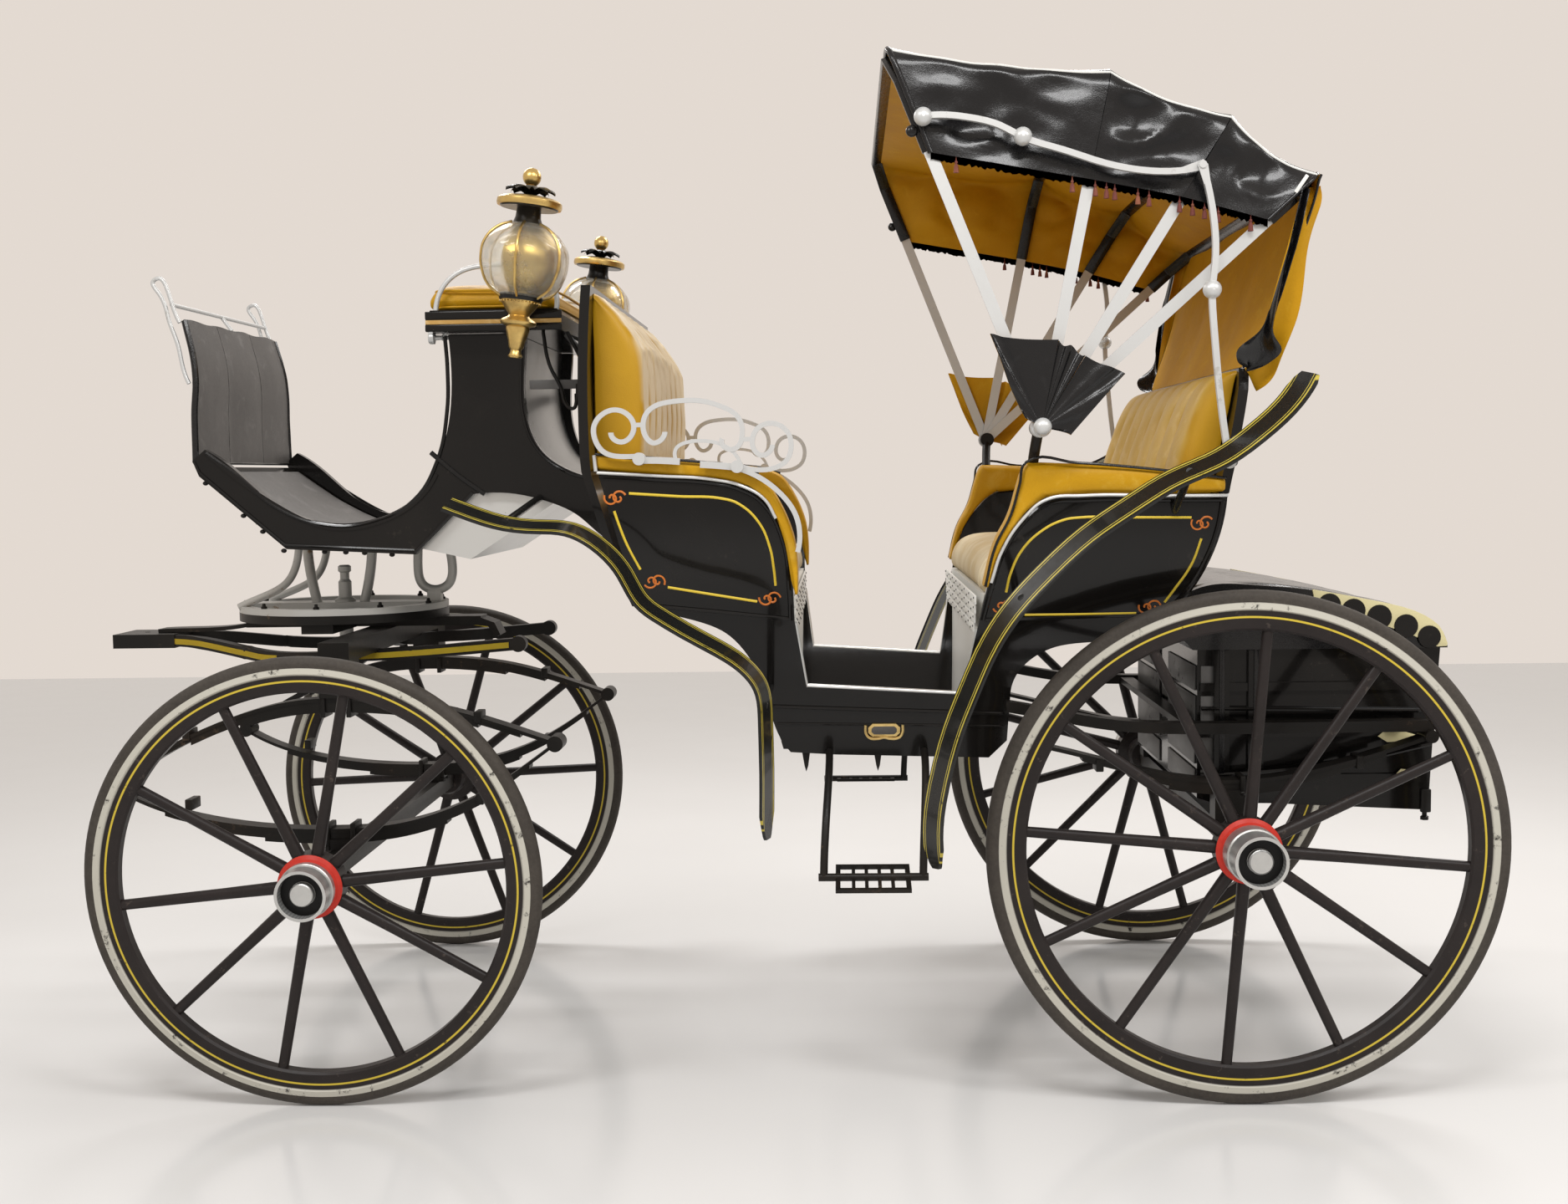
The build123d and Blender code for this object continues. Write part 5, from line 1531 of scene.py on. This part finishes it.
    def build(self) -> None:
        """Builds the seats."""
        self.back("front_back_tufted", self.front_face, self.front_rear, self.half, (0.36, 0.70), 1,
                  "front_back_cushion")
        self.back("rear_back_tufted", self.rear_face, self.rear_rear, self.half + 30, (0.56,), -1,
                  "rear_back_cushion")
        front = smooth_line([(-384, 1244), (-366, 1156), (-330, 1151.8), (-200, 1151.8), (-60, 1151.8),
                             (-14, 1153), (-5, 1180), (-22, 1226), (-80, 1243), (-160, 1245), (-250, 1245),
                             (-340, 1244)], 84)
        rear = smooth_line([(836, 1230), (837, 1150), (800, 1147.8), (640, 1147.8), (500, 1147.8),
                            (430, 1149), (415, 1183), (440, 1230), (500, 1242), (600, 1242), (700, 1236),
                            (790, 1230)], 84)
        self.seat("front_seat_tan", front, self.half, "ribbed_cloth", "front_seat_cushion", 6.0, 1151.3)
        self.seat("rear_seat_tan", rear, self.half, "ribbed_cloth", "rear_seat_cushion", 6.0, 1147.3)
        self.arms()
        self.box()


@dataclass
class Lamps:
    """Two oil lamps beside the driver's box, each about its own upright axis."""

    shop: Workshop
    foot: tuple[float, float, float] = (-632.0, 552.0, 1713.0)
    lean: float = 7.0
    sides: int = 6

    def both_lamps(self, make: Callable[[], Mesh]) -> Mesh:
        """Makes a part of a lamp and stands one copy on each side."""
        x, y, z = self.foot
        turn = Matrix.Rotation(math.radians(self.lean), 4, "Y")
        return joined(moved(make(), Matrix.Translation((x, side.value * y, z)) @ turn) for side in Side)

    def facet(self, mesh: Mesh, keep: float) -> Mesh:
        """Presses a round body towards six flat faces."""
        for vert in mesh.verts:
            angle = math.atan2(vert.co.y, vert.co.x)
            near = (angle + math.pi / self.sides) % (2 * math.pi / self.sides) - math.pi / self.sides
            flat = math.cos(math.pi / self.sides) / math.cos(near)
            scale = keep + (1 - keep) * flat / math.cos(math.pi / self.sides)
            vert.co.x *= min(scale, 1.0)
            vert.co.y *= min(scale, 1.0)
        return mesh

    def metal(self) -> Mesh:
        """The ball, the rim, the cup with its beads, the stem and the finial."""
        stem = turned([(0, -12), (14, -12), (17, -8), (13, -2), (12, 5), (17, 12), (19, 24), (24, 40),
                       (27, 52), (26, 58), (38, 62), (41, 66), (41, 70), (36, 75), (27, 79), (23, 84),
                       (27, 90), (35, 100), (43, 112), (44, 117), (0, 118)], 40)
        rim = turned([(64, 327), (72, 327), (74, 332), (73, 341), (68, 345), (60, 348), (64, 338)], 44)
        burner = turned([(0, 132), (12, 134), (14, 148), (10, 156), (9, 178), (12, 184), (0, 186)], 20)
        neck = turned([(0, 350), (10, 351), (8, 360), (8, 374), (12, 377), (0, 380)], 20)
        pieces = [stem, rim, burner, neck, knob((0, 0, 395), 21)]
        for k in range(30):
            turn = 2 * math.pi * k / 30
            pieces.append(knob((46 * math.cos(turn), 46 * math.sin(turn), 113), 2.4))
        return joined(pieces)

    def reflector(self) -> Mesh:
        """The curved gilt shell that fills the rear half of the globe, and the burner's collar."""
        def bowl(u: float, v: float) -> Spot:
            """A place on the shell: u round the axis, v up."""
            turn, reach = math.radians(230 * (u - 0.5)), 40 + 44 * math.sin(math.pi * v) ** 0.8
            return reach * math.cos(turn), reach * math.sin(turn), 136 + 144 * v

        plate = drape(36, 16, bowl)
        bmesh.ops.solidify(plate, geom=plate.faces[:], thickness=1.2)
        return joined([plate, turned([(14, 182), (26, 184), (28, 192), (24, 196), (13, 194)], 28)])

    def dark(self) -> Mesh:
        """The low dome with its petals, the neck under it and the ring under the globe."""
        dome = turned([(0, 324), (64, 324), (69, 330), (60, 344), (42, 351), (20, 355), (0, 356)], 40)
        neck = turned([(0, 286), (36, 287), (33, 293), (29, 304), (27, 326), (0, 327)], 36)
        ring = turned([(0, 117), (48, 117), (51, 125), (48, 132), (0, 132)], 36)
        pieces = [dome, neck, ring]

        def blade(u: float, v: float) -> Spot:
            """A place on a petal: u across it, v out from the axis."""
            wide = 34 * math.sin(math.pi * (0.12 + 0.80 * v)) ** 0.8
            return 6 + 50 * v, (u - 0.5) * wide, 356 + 17 * math.sin(2.4 * v) - 24 * (u - 0.5) ** 2 * v

        for k in range(8):
            petal = drape(8, 10, blade)
            bmesh.ops.solidify(petal, geom=petal.faces[:], thickness=1.4)
            pieces.append(moved(petal, Matrix.Rotation(math.pi * (k + 0.3) / 4, 4, "Z")))
        return joined(pieces)

    def frame_bars(self) -> Mesh:
        """Six thin strips of brass between the panes."""
        line = [(49, 124), (80, 144), (97, 176), (102.5, 208), (97, 241), (71, 274), (37, 291)]
        turns = [2 * math.pi * (k + 0.5) / self.sides for k in range(self.sides)]
        runs = [Run([(r * math.cos(turn), r * math.sin(turn), z) for r, z in line], 3.0) for turn in turns]
        return bars(runs, 2, 4)

    def globe(self) -> Mesh:
        """The bulging panes."""
        line = smooth_line([(48, 124), (78, 145), (96, 177), (101, 208), (96, 240), (70, 272), (37, 290)], 26)
        shell = self.facet(turned(line, 48), 0.25)
        bmesh.ops.recalc_face_normals(shell, faces=shell.faces[:])
        bmesh.ops.solidify(shell, geom=shell.faces[:], thickness=2.0)
        return shell

    def build(self) -> None:
        """Builds both lamps."""
        self.shop.piece("lamp_metal", self.both_lamps(self.metal), "lamp_brass", "carriage", ["lamps"])
        self.shop.piece("lamp_reflector", self.both_lamps(self.reflector), "lamp_bowl")
        self.shop.piece("lamp_caps", self.both_lamps(self.dark), "lamp_black")
        self.shop.piece("lamp_frames", self.both_lamps(self.frame_bars), "lamp_brass")
        self.shop.piece("lamp_panes", self.both_lamps(self.globe), "lamp_pane", "carriage", ["lamp_glasses"])
        line = [(-624, 420, 1789), (-624, 480, 1789), (-622, 520, 1795), (-619, 545, 1808)]
        arm = bars([Run([(x, side.value * y, z) for x, y, z in line], 8) for side in Side], 3, 5)
        self.shop.piece("lamp_brackets", arm, "iron_black")


@dataclass
class DriverBox:
    """Trim of the driver's box: dash leather, mouldings, bolts, straps and mat."""

    shop: Workshop
    side_y: float = 360.0

    def dash(self) -> None:
        """Makes the dash leather with its bound edges and raised seams."""
        line = [(-1458.5, 1476), (-1459, 1584), (-1456, 1665), (-1462, 1735), (-1482, 1820)]

        def lie(u: float, v: float) -> Spot:
            """A place on the leather: u across from the near edge, v up."""
            x, z = flow(line, v)
            half = 350 - 26 * v
            lane = u / 0.34
            slack = math.sin(math.pi * (lane - math.floor(lane)))
            wave = 3.5 * slack + 2.0 * (rough((u * 700, 0, z), 110.0) - 0.5)
            return x + wave, (2 * u - 1) * half, z + 4 * v * math.sin(u * 23) * 0.5

        self.shop.cloth("dash_leather", drape(64, 30, lie), 3.2, "dash_hide", "carriage", 350.0,
                                "stretched", ["boot_sides", "wire_rails"], ["dash"])
        runs = [Run([lie(u, k / 10) for k in range(11)], 8.0 if u in (0.0, 1.0) else 4.0)
                for u in (0.0, 0.32, 0.68, 1.0)]
        runs.append(Run([lie(k / 16, 0.0) for k in range(17)], 4.2))
        runs.append(Run([lie(k / 16, 1.0) for k in range(17)], 3.4))
        self.shop.piece("dash_seams", bars(runs, 2, 4), "hood_hide")

    def trim(self) -> None:
        """Makes the mouldings, bolts, board stripe, mat and the clamp knobs behind the box."""
        sweep = [(-1428, 1499), (-1361, 1450), (-1262, 1366), (-1137, 1320), (-1018, 1330), (-925, 1378),
                 (-866, 1470), (-838, 1590), (-834, 1690), (-838, 1768)]
        lower = [(-1459, 1474), (-1446, 1446), (-1346, 1358), (-1242, 1268), (-1080, 1259), (-927, 1251)]
        back = [(-652, 1768), (-656, 1700), (-652, 1565), (-620, 1492), (-557, 1443), (-482, 1420)]
        joint = [(-926, 1252), (-868, 1310), (-782, 1395), (-800, 1400), (-868, 1440)]
        runs = []
        for side in Side:
            y = side.value * (self.side_y + 0.5)
            runs += [Run([(x, y, z) for x, z in sweep], 5.0), Run([(x, y, z) for x, z in back], 3.5)]
            runs += [Run([(x, y, z + 6) for x, z in lower], 4.0, straight=True)]
            runs += [Run([(x, y, z) for x, z in joint[:3]], 4.5, straight=True)]
            runs += [Run([(-880, y, 1492), (-820, y, 1440), (-752, y, 1390)], 6.0)]
        self.shop.piece("box_mouldings", bars(runs, 2, 6), "body_black")
        bolts = []
        for side in Side:
            for x, z in ((-1436, 1428), (-1346, 1348), (-1300, 1309), (-1250, 1262), (-1150, 1258),
                         (-1098, 1256),
                         (-1052, 1254), (-985, 1249)):
                bolts.append(knob((x, side.value * 350, z - 2), 7, (1, 1, 0.8)))
        self.shop.piece("box_bolts", joined(bolts), "iron_black")
        stripe = both(lambda side: side_box(side, (-868, -546), (424, 426.5), (1791, 1801), 1.0))
        self.shop.piece("seat_board_stripe", stripe, "tan_hide")
        caps = both(lambda side: joined(side_box(side, (-869, -545), (420, 427), z, 2.0)
                                        for z in ((1803, 1821), (1775, 1790))))
        self.shop.piece("seat_board_mouldings", caps, "body_black")
        floor = [(-1425, 1449), (-1300, 1363), (-1180, 1307), (-1060, 1295), (-950, 1298)]
        mat = drape(30, 60, lambda u, v: (flow(floor, v)[0], (2 * u - 1) * 318,
                                          flow(floor, v)[1] + 2.2 + 1.5 * rough((u * 600, v * 500, 0), 90.0)))
        self.shop.cloth("foot_mat", mat, 2.6, "dash_hide", "carriage", 636.0, "laid", ["footboard"])
        clamp = both(lambda side: joined([
            moved(turned([(0, -2), (13, 0), (15, 4), (15, 10), (12, 14), (6, 16), (5, 30), (8, 34), (0, 36)],
                         24),
                  Matrix.Translation((-879, side * 348, 1766)) @ Matrix.Rotation(math.pi / 2, 4, "Y")),
            bars([Run([(-842, side * 352, 1770), (-832, side * 362, 1776), (-824, side * 366, 1782)], 4)])]))
        self.shop.piece("box_clamp_knobs", clamp, "silver_paint")

    def irons(self) -> None:
        """Makes the step irons and diagonal straps between the box and the front seat's board."""
        lines = (
            (330, 5, [(-548, 1776), (-520, 1720), (-488, 1655)]),
            (250, 5, [(-560, 1776), (-528, 1760), (-489, 1700)]),
            (366, 4.5, [(-600, 1774), (-588, 1700), (-560, 1640), (-548, 1600), (-532, 1592), (-524, 1610),
                        (-520, 1650)]),
        )
        runs = [Run([(x, side.value * y, z) for x, z in line], radius) for side in Side for y, radius,
                line in lines]
        self.shop.piece("box_step_irons", bars(runs, 3, 6), "iron_black")
        straps = both(lambda side: joined([
            bars([Run([(x, side * 300, z) for x, z in ((-556, 1774), (-520, 1730), (-489, 1688))], 7)]),
            side_box(side, (-640, -505), (338, 345), (1640, 1662), 2.0)]))
        self.shop.piece("box_straps", straps, "scuffed_grey", slot=Slot.IRON)

    def build(self) -> None:
        """Builds the trim."""
        self.dash()
        self.trim()
        self.irons()


@dataclass
class Tub:
    """Trim of the passenger tub: coach lines, beads, sill plates and the riser boards."""

    shop: Workshop
    section: tuple[tuple[float, float], ...] = ((395, 700), (412, 760), (440, 850), (475, 945), (535, 1050),
                                                (585, 1150), (618, 1250), (638, 1370), (645, 1470))

    def out(self, z: float) -> float:
        """How far out the side panel stands at a height."""
        points = self.section
        for k in range(len(points) - 1):
            if z <= points[k + 1][1] or k == len(points) - 2:
                share = (z - points[k][1]) / (points[k + 1][1] - points[k][1])
                return flow(points, (k + share) / (len(points) - 1))[0]
        return points[-1][0]

    def on_side(self, line: Plan, side: int, off: float = 0.0) -> list[tuple[float, float, float]]:
        """Puts a line of X and Z on the side panel."""
        return [(x, side * (self.out(z) + off), z) for x, z in line]

    def lines(self) -> None:
        """Makes the yellow coach lines and the small corner scrolls."""
        strokes = [[(-368, 1390), (-260, 1382), (-152, 1374), (-121, 1362), (-79, 1321), (-56, 1266),
                    (-48, 1216), (-45, 1177)], [(-403, 1351), (-392, 1316), (-378, 1277), (-350, 1218)],
                    [(-290, 1176), (-190, 1158), (-88, 1140)], [(882, 1319), (757, 1321), (631, 1322),
                (599, 1317), (551, 1293), (509, 1251), (485, 1199), (476, 1155)], [(906, 1272), (887, 1213),
                (853, 1156), (834, 1127)], [(520, 1101), (645, 1101), (772, 1102)],]
        runs = []
        for side in Side:
            runs += [Run(self.on_side(line, side.value, -1.2), 3.4) for line in strokes]
        self.shop.piece("coach_lines", bars(runs, 2, 8), "yellow_line")
        runs = []
        for side in Side:
            for x, z, turn in ((-400, 1380, 0.4), (-320, 1190, -0.5), (-59, 1146, 0.2), (906, 1305, 0.6),
                               (801, 1116, 0.3), (472, 1122, -0.3)):
                for hand in (1, -1):
                    curl = []
                    for k in range(14):
                        angle = turn + hand * k * 0.52
                        reach = 17.0 - k * 1.05
                        across = hand * (8 + reach * math.cos(angle))
                        curl.append((x + across, z + reach * math.sin(angle)))
                    runs.append(Run(self.on_side(curl, side.value, -0.8), 2.6))
        self.shop.piece("corner_scrolls", bars(runs, 1, 2), "orange_line")

    def mouldings(self) -> None:
        """Makes the black mouldings round the panels and the bright beads under the arms."""
        front_edge = [(-434, 1430), (-302, 1420), (-180, 1410), (-118, 1395), (-70, 1365), (-28, 1287),
                      (-14, 1161), (-13, 1095)]
        rear_edge = [(426, 1090), (441, 1156), (469, 1248), (517, 1318), (562, 1352), (640, 1360),
                     (834, 1358), (950, 1357)]
        rear_end = [(950, 1357), (939, 1288), (914, 1215), (882, 1155), (842, 1104)]
        belt = [(-61, 881), (140, 872), (343, 864), (480, 858)]
        low_belt = [(-52, 838), (140, 834), (343, 830), (484, 826)]
        waist = [(430, 1090), (640, 1094), (842, 1099)]
        front_waist = [(-340, 1134), (-180, 1117), (-16, 1098)]
        runs = []
        for side in Side:
            for line, radius in ((front_edge, 5.5), (rear_edge, 5.5), (rear_end, 6.0), (belt, 4.5),
                                 (low_belt, 3.0), (waist, 4.5), (front_waist, 4.5)):
                runs.append(Run(self.on_side(line, side.value, 0.5), radius))
        self.shop.piece("panel_mouldings", bars(runs, 2, 8), "body_black")
        runs = []
        for side in Side:
            front = [(-438, 1437), (-302, 1428), (-177, 1418), (-112, 1402), (-64, 1372), (-40, 1330)]
            rear = [(437, 1180), (462, 1252), (512, 1325), (559, 1363), (640, 1371), (834, 1368), (958, 1367)]
            runs += [Run([(x, side.value * 650, z) for x, z in front], 3.6)]
            runs += [Run([(x, side.value * 650, z) for x, z in rear], 3.6)]
            runs += [Run([(-440, side.value * 652, 1440), (-443, side.value * 652, 1476)], 4.2)]
        self.shop.piece("arm_beads", bars(runs, 2, 8), "silver_paint")

    def doorway(self) -> None:
        """Makes the bright sill and post trims."""
        meshes = []
        for side in Side:
            for line, radius in (([(20, 930), (200, 919), (384, 907)], 6.0),
                                 ([(-3, 1088), (8, 1008), (18, 934)], 5.0),
                                 ([(388, 910), (402, 985), (415, 1070)], 5.0)):
                meshes.append(bars([Run(self.on_side(line, side.value, -8), radius)], 3, 6))
        self.shop.piece("doorway_trims", joined(meshes), "sheet_metal")

    def plate(self) -> None:
        """Makes the eight-cornered plate in its leaf bracket."""
        def card(wide: float, high: float, cut: float, low: float, top: float) -> Mesh:
            """A bare plate with cut corners, standing out from the side."""
            outline = [(-wide + cut, -high), (wide - cut, -high), (wide, -high + cut), (wide, high - cut),
                       (wide - cut, high), (-wide + cut, high), (-wide, high - cut), (-wide, -high + cut)]
            return slab(outline, low, top, 1.2)

        def stand(mesh: Mesh, side: int) -> Mesh:
            """Puts a plate on the side panel, leaning as it does."""
            lean = math.atan2(self.out(843) - self.out(796), 47)
            matrix = Matrix.Translation((201, side * (self.out(819) + 1), 820))
            return moved(mesh, matrix @ Matrix.Rotation(-side * lean, 4, "X"))

        brass = both(lambda side: joined([stand(card(38, 17, 10, *sorted((-2 * side, 4 * side))), side),
                                          stand(bars([Run([(-44, side * 3, 14), (-43, side * 3, -8),
                                                           (-34, side * 3, -20), (-14, side * 3, -22),
                                                           (0, side * 3, -19), (14, side * 3, -22),
                                                           (34, side * 3, -20), (43, side * 3, -8),
                                                           (44, side * 3, 14)], 3.6)], 2, 6), side)]))
        self.shop.piece("side_plates", brass, "lamp_gilt")
        grey = both(lambda side: stand(card(30, 10.5, 6, *sorted((2 * side, 5.6 * side))), side))
        self.shop.piece("side_plate_faces", grey, "dash_hide", slot=Slot.IRON)

    def risers(self) -> None:
        """Makes the boarded faces under both seats with their rows of nail heads."""
        boards, nails = [], []
        for x, lean, ahead in ((-6.0, -5.0, 1), (412.5, -6.5, -1)):
            for k in range(4):
                z0 = 1056 + k * 22.5
                wide = self.out(z0) - 26
                back, face = sorted((x, x + ahead * 5))
                boards.append(block((back, -wide, z0), (face, wide, z0 + 21.5), 1.6))
                for j in range(15):
                    y = (j / 7 - 1) * (wide - 16)
                    nails.append(knob((x + ahead * 5.4, y, z0 + (6 if j % 2 else 15)), 2.6, (0.6, 1, 1)))
        self.shop.piece("riser_boards", joined(boards), "white_paint")
        self.shop.piece("riser_nails", joined(nails), "iron_black")

    def under(self) -> None:
        """Makes the fins under the floor."""
        fins = []
        for side in Side:
            for x in (14, 186):
                outline = [(x - 11, 771), (x + 11, 771), (x + 5, 728), (x, 714), (x - 4, 728)]
                fins.append(slab(outline, *sorted((side.value * 388, side.value * 394)), 1.0))
        self.shop.piece("floor_fins", joined(fins), "iron_black")

    def build(self) -> None:
        """Builds the trim."""
        self.lines()
        self.mouldings()
        self.doorway()
        self.plate()
        self.risers()
        self.under()


@dataclass
class Gear:
    """Trim of the running gear: stripes, clips and nuts."""

    shop: Workshop

    def futchells(self) -> None:
        """Makes the broad yellow stripes on the outer faces of the two shafts."""
        meshes = []
        line = [(-1650, -56, 1016), (-1560, -88, 1012), (-1420, -150, 992), (-1330, -190, 983),
                (-1150, -215, 986), (-950, -220, 996), (-712, -220, 1014)]
        for side in Side:
            def lie(u: float, v: float) -> Spot:
                """A place on the stripe, just outside the shaft."""
                x, y, z = flow(line, 0.01 + 0.97 * u)
                ahead = Vector(flow(line, min(u + 0.03, 1.0))) - Vector(flow(line, max(u - 0.02, 0.0)))
                normal = Vector((ahead.y, -ahead.x, 0)).normalized() * 13.6
                return x + normal.x, -side.value * (y + normal.y), z + (v - 0.5) * 13

            strip = drape(60, 2, lie)
            bmesh.ops.solidify(strip, geom=strip.faces[:], thickness=1.2)
            meshes.append(strip)
        self.shop.piece("shaft_stripes", joined(meshes), "yellow_line", "forecarriage")

    def clips(self) -> None:
        """Makes the clips and nuts on the front springs and on the rear ones."""
        front, rear = [], []
        for side in Side:
            low, high = sorted((side.value * 482, side.value * 420))
            for x, z0, z1 in ((-1128, 560, 612), (-1066, 560, 614), (-1128, 868, 920), (-1066, 868, 922)):
                front.append(side_box(side.value, (x - 6, x + 6), (420, 482), (z0, z1), 2.0))
            for x in (-1128, -1066):
                for y in (low + 6, high - 6):
                    front.append(moved(turned([(0, -13), (8, -12), (9, -9), (9, -2), (0, 0)], 6),
                                       Matrix.Translation((x, y, 562))))
            for x, z in ((-1460, 828), (-760, 864), (-1460, 660), (-760, 668)):
                front.append(side_box(side.value, (x - 9, x + 9), (423, 479), (z - 12, z + 14), 2.0))
            low, high = sorted((side.value * 502, side.value * 440))
            for x in (970, 1030):
                rear.append(side_box(side.value, (x - 6, x + 6), (440, 502), (676, 714), 2.0))
                for y in (low + 6, high - 6):
                    rear.append(knob((x, y, 674), 9, (1, 1, 0.7)))
            for x, z in ((700, 742), (1300, 744)):
                rear.append(side_box(side.value, (x - 9, x + 9), (443, 499), (z - 16, z + 14), 2.0))
        self.shop.piece("front_spring_clips", joined(front), "iron_black", "forecarriage")
        self.shop.piece("rear_spring_clips", joined(rear), "iron_black")

    def turntable(self) -> None:
        """Makes the nuts on the ring and the yellow marks on the bed."""
        upper = []
        for k in range(10):
            turn = 2 * math.pi * (k + 0.5) / 10
            nut = turned([(0, 0), (8, 0), (8, 6), (5, 8), (4, 14), (0, 15)], 6)
            spot = (-1207 + 252 * math.cos(turn), 252 * math.sin(turn), 1107)
            upper.append(moved(nut, Matrix.Translation(spot)))
        self.shop.piece("ring_nuts", joined(upper), "iron_black")
        lower = [block((-1330, y, 1051), (-1268, y + 3, 1064), 0.8) for y in (-41, 38)]
        self.shop.piece("bed_stripes", joined(lower), "yellow_line", "forecarriage")

    def build(self) -> None:
        """Builds the trim."""
        self.futchells()
        self.clips()
        self.turntable()


@dataclass
class Trunk:
    """The rear trunk: its leather cover, straps, pale panels and the scalloped edge."""

    shop: Workshop
    half: float = 400.0

    def cover(self) -> None:
        """Makes the leather cover with soft folds."""
        line = [(884, 1046), (884, 1098), (940, 1144), (1076, 1150), (1200, 1138), (1310, 1117), (1430, 1089),
                (1500, 1050), (1520, 1004)]

        def lie(u: float, v: float) -> Spot:
            """A place on the cover: u across from the near edge, v from the front edge to the rear one."""
            x, z = flow(line, v)
            side = min(u, 1 - u)
            drop = 46 * max(0.0, 1 - side / 0.045) ** 1.5
            sag = 9 * (rough((x, u * 800, 0), 190.0) - 0.5) * min(side / 0.1, 1.0)
            shape = min(u / 0.03, (1 - u) / 0.03, 1.0)
            y = (2 * u - 1) * (418 - 3 * (1 - shape))
            low = 1003 if 930 < x < 1518 else z
            return x, y, max(z - drop * min((z - low) / 50, 1.0) + sag * min((z - low) / 60, 1.0), low)

        self.shop.cloth("trunk_cover_leather", drape(60, 70, lie), 3.0, "hood_hide", "carriage", 900.0,
                        "draped", ["trunk", "trunk_cover"])

    def edge(self) -> None:
        """Makes the pale band with dark scallops along the cover's rear slope, and the pale patches."""
        bands, dots = [], []
        line = [(1206, 1141), (1310, 1121), (1430, 1093), (1497, 1056), (1521, 1010)]
        for side in Side:
            low, high = sorted((side.value * 419, side.value * 424))
            top = smooth_line(line, 14)
            outline = top + [(1519, 1004), (1497, 1003), (1440, 1030), (1380, 1052), (1300, 1070),
                             (1216, 1096)]
            bands.append(slab(outline, low, high, 0.8))
            for x, z, radius in ((1246, 1104, 27), (1302, 1090, 28), (1362, 1074, 29), (1424, 1052, 28),
                                 (1478, 1026, 27)):
                disc = turned([(0, 0), (radius, 0), (radius - 1, 2.5), (0, 3)], 24)
                turn = Matrix.Rotation(side.value * -math.pi / 2, 4, "X")
                dots.append(moved(disc, Matrix.Translation((x, side.value * 424, z)) @ turn))
            for x, z, long, tall in ((1410, 790, 44, 14), (1436, 700, 26, 12)):
                patch = [(x - long, z), (x - long * 0.6, z + tall), (x + long * 0.5, z + tall * 0.7),
                         (x + long, z + 3), (x + long * 0.8, z - tall * 0.8), (x - long * 0.5, z - tall)]
                bands.append(slab(patch, *sorted((side.value * 408, side.value * 410.5)), 0.8))
        self.shop.piece("trunk_pale_edge", joined(bands), "cream_paint")
        self.shop.piece("trunk_scallops", joined(dots), "body_black")

    def front(self) -> None:
        """Makes the pale panels on the front end, between dark straps."""
        panels, straps = [], []
        for side in Side:
            y = side.value
            for z0, z1 in ((655, 712), (724, 800), (812, 888), (900, 960)):
                panels.append(side_box(y, (940, 944), (60, 385), (z0, z1), 1.2))
                panels.append(side_box(y, (952, 982), (400, 402.5), (z0, z1), 0.8))
            for x in (1000, 1080):
                straps.append(side_box(y, (x - 6, x + 6), (411, 415), (642, 1060), 1.2))
        self.shop.piece("trunk_pale_panels", joined(panels), "scuffed_grey")
        self.shop.piece("trunk_straps", joined(straps), "hood_hide")

    def hardware(self) -> None:
        """Makes the corner irons, rails and the bolt at the rear foot."""
        runs, caps = [], []
        for side in Side:
            y = side.value
            runs.append(Run([(950, y * 409, 700), (1100, y * 412, 708), (1300, y * 412, 730),
                             (1488, y * 409, 770)], 6))
            runs.append(Run([(952, y * 409, 860), (1200, y * 411, 856), (1490, y * 409, 850)], 5))
            caps.append(side_box(y, (1470, 1494), (396, 408), (606, 662), 3.0))
            caps.append(moved(turned([(0, 0), (10, 0), (10, 8), (6, 10), (6, 26), (0, 27)], 6),
                              Matrix.Translation((1484, y * 390, 586))))
        self.shop.piece("trunk_rails", bars(runs, 2, 6), "body_black")
        self.shop.piece("trunk_corner_irons", joined(caps), "iron_black")

    def build(self) -> None:
        """Builds the trim."""
        self.cover()
        self.edge()
        self.front()
        self.hardware()


def main() -> None:
    """Builds the looks in order."""
    logging.basicConfig(level=logging.INFO, format="%(message)s")
    bpy.ops.wm.read_factory_settings(use_empty=True)
    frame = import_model()
    studio = Studio()
    studio.camera()
    studio.floor()
    studio.lights()
    bpy.context.scene.view_settings.view_transform = "Standard"
    looks = Looks()
    for node, look in NODE_LOOKS.items():
        looks.dress(frame["nodes"][node], looks[look])
    Wheels().build(frame, looks)
    shop = Workshop(looks)
    for part in (Hood(shop), Seats(shop), Lamps(shop), DriverBox(shop), Tub(shop), Gear(shop), Trunk(shop)):
        part.build()
        LOG.info("built %s", type(part).__name__)


if __name__ == "__main__":
    main()
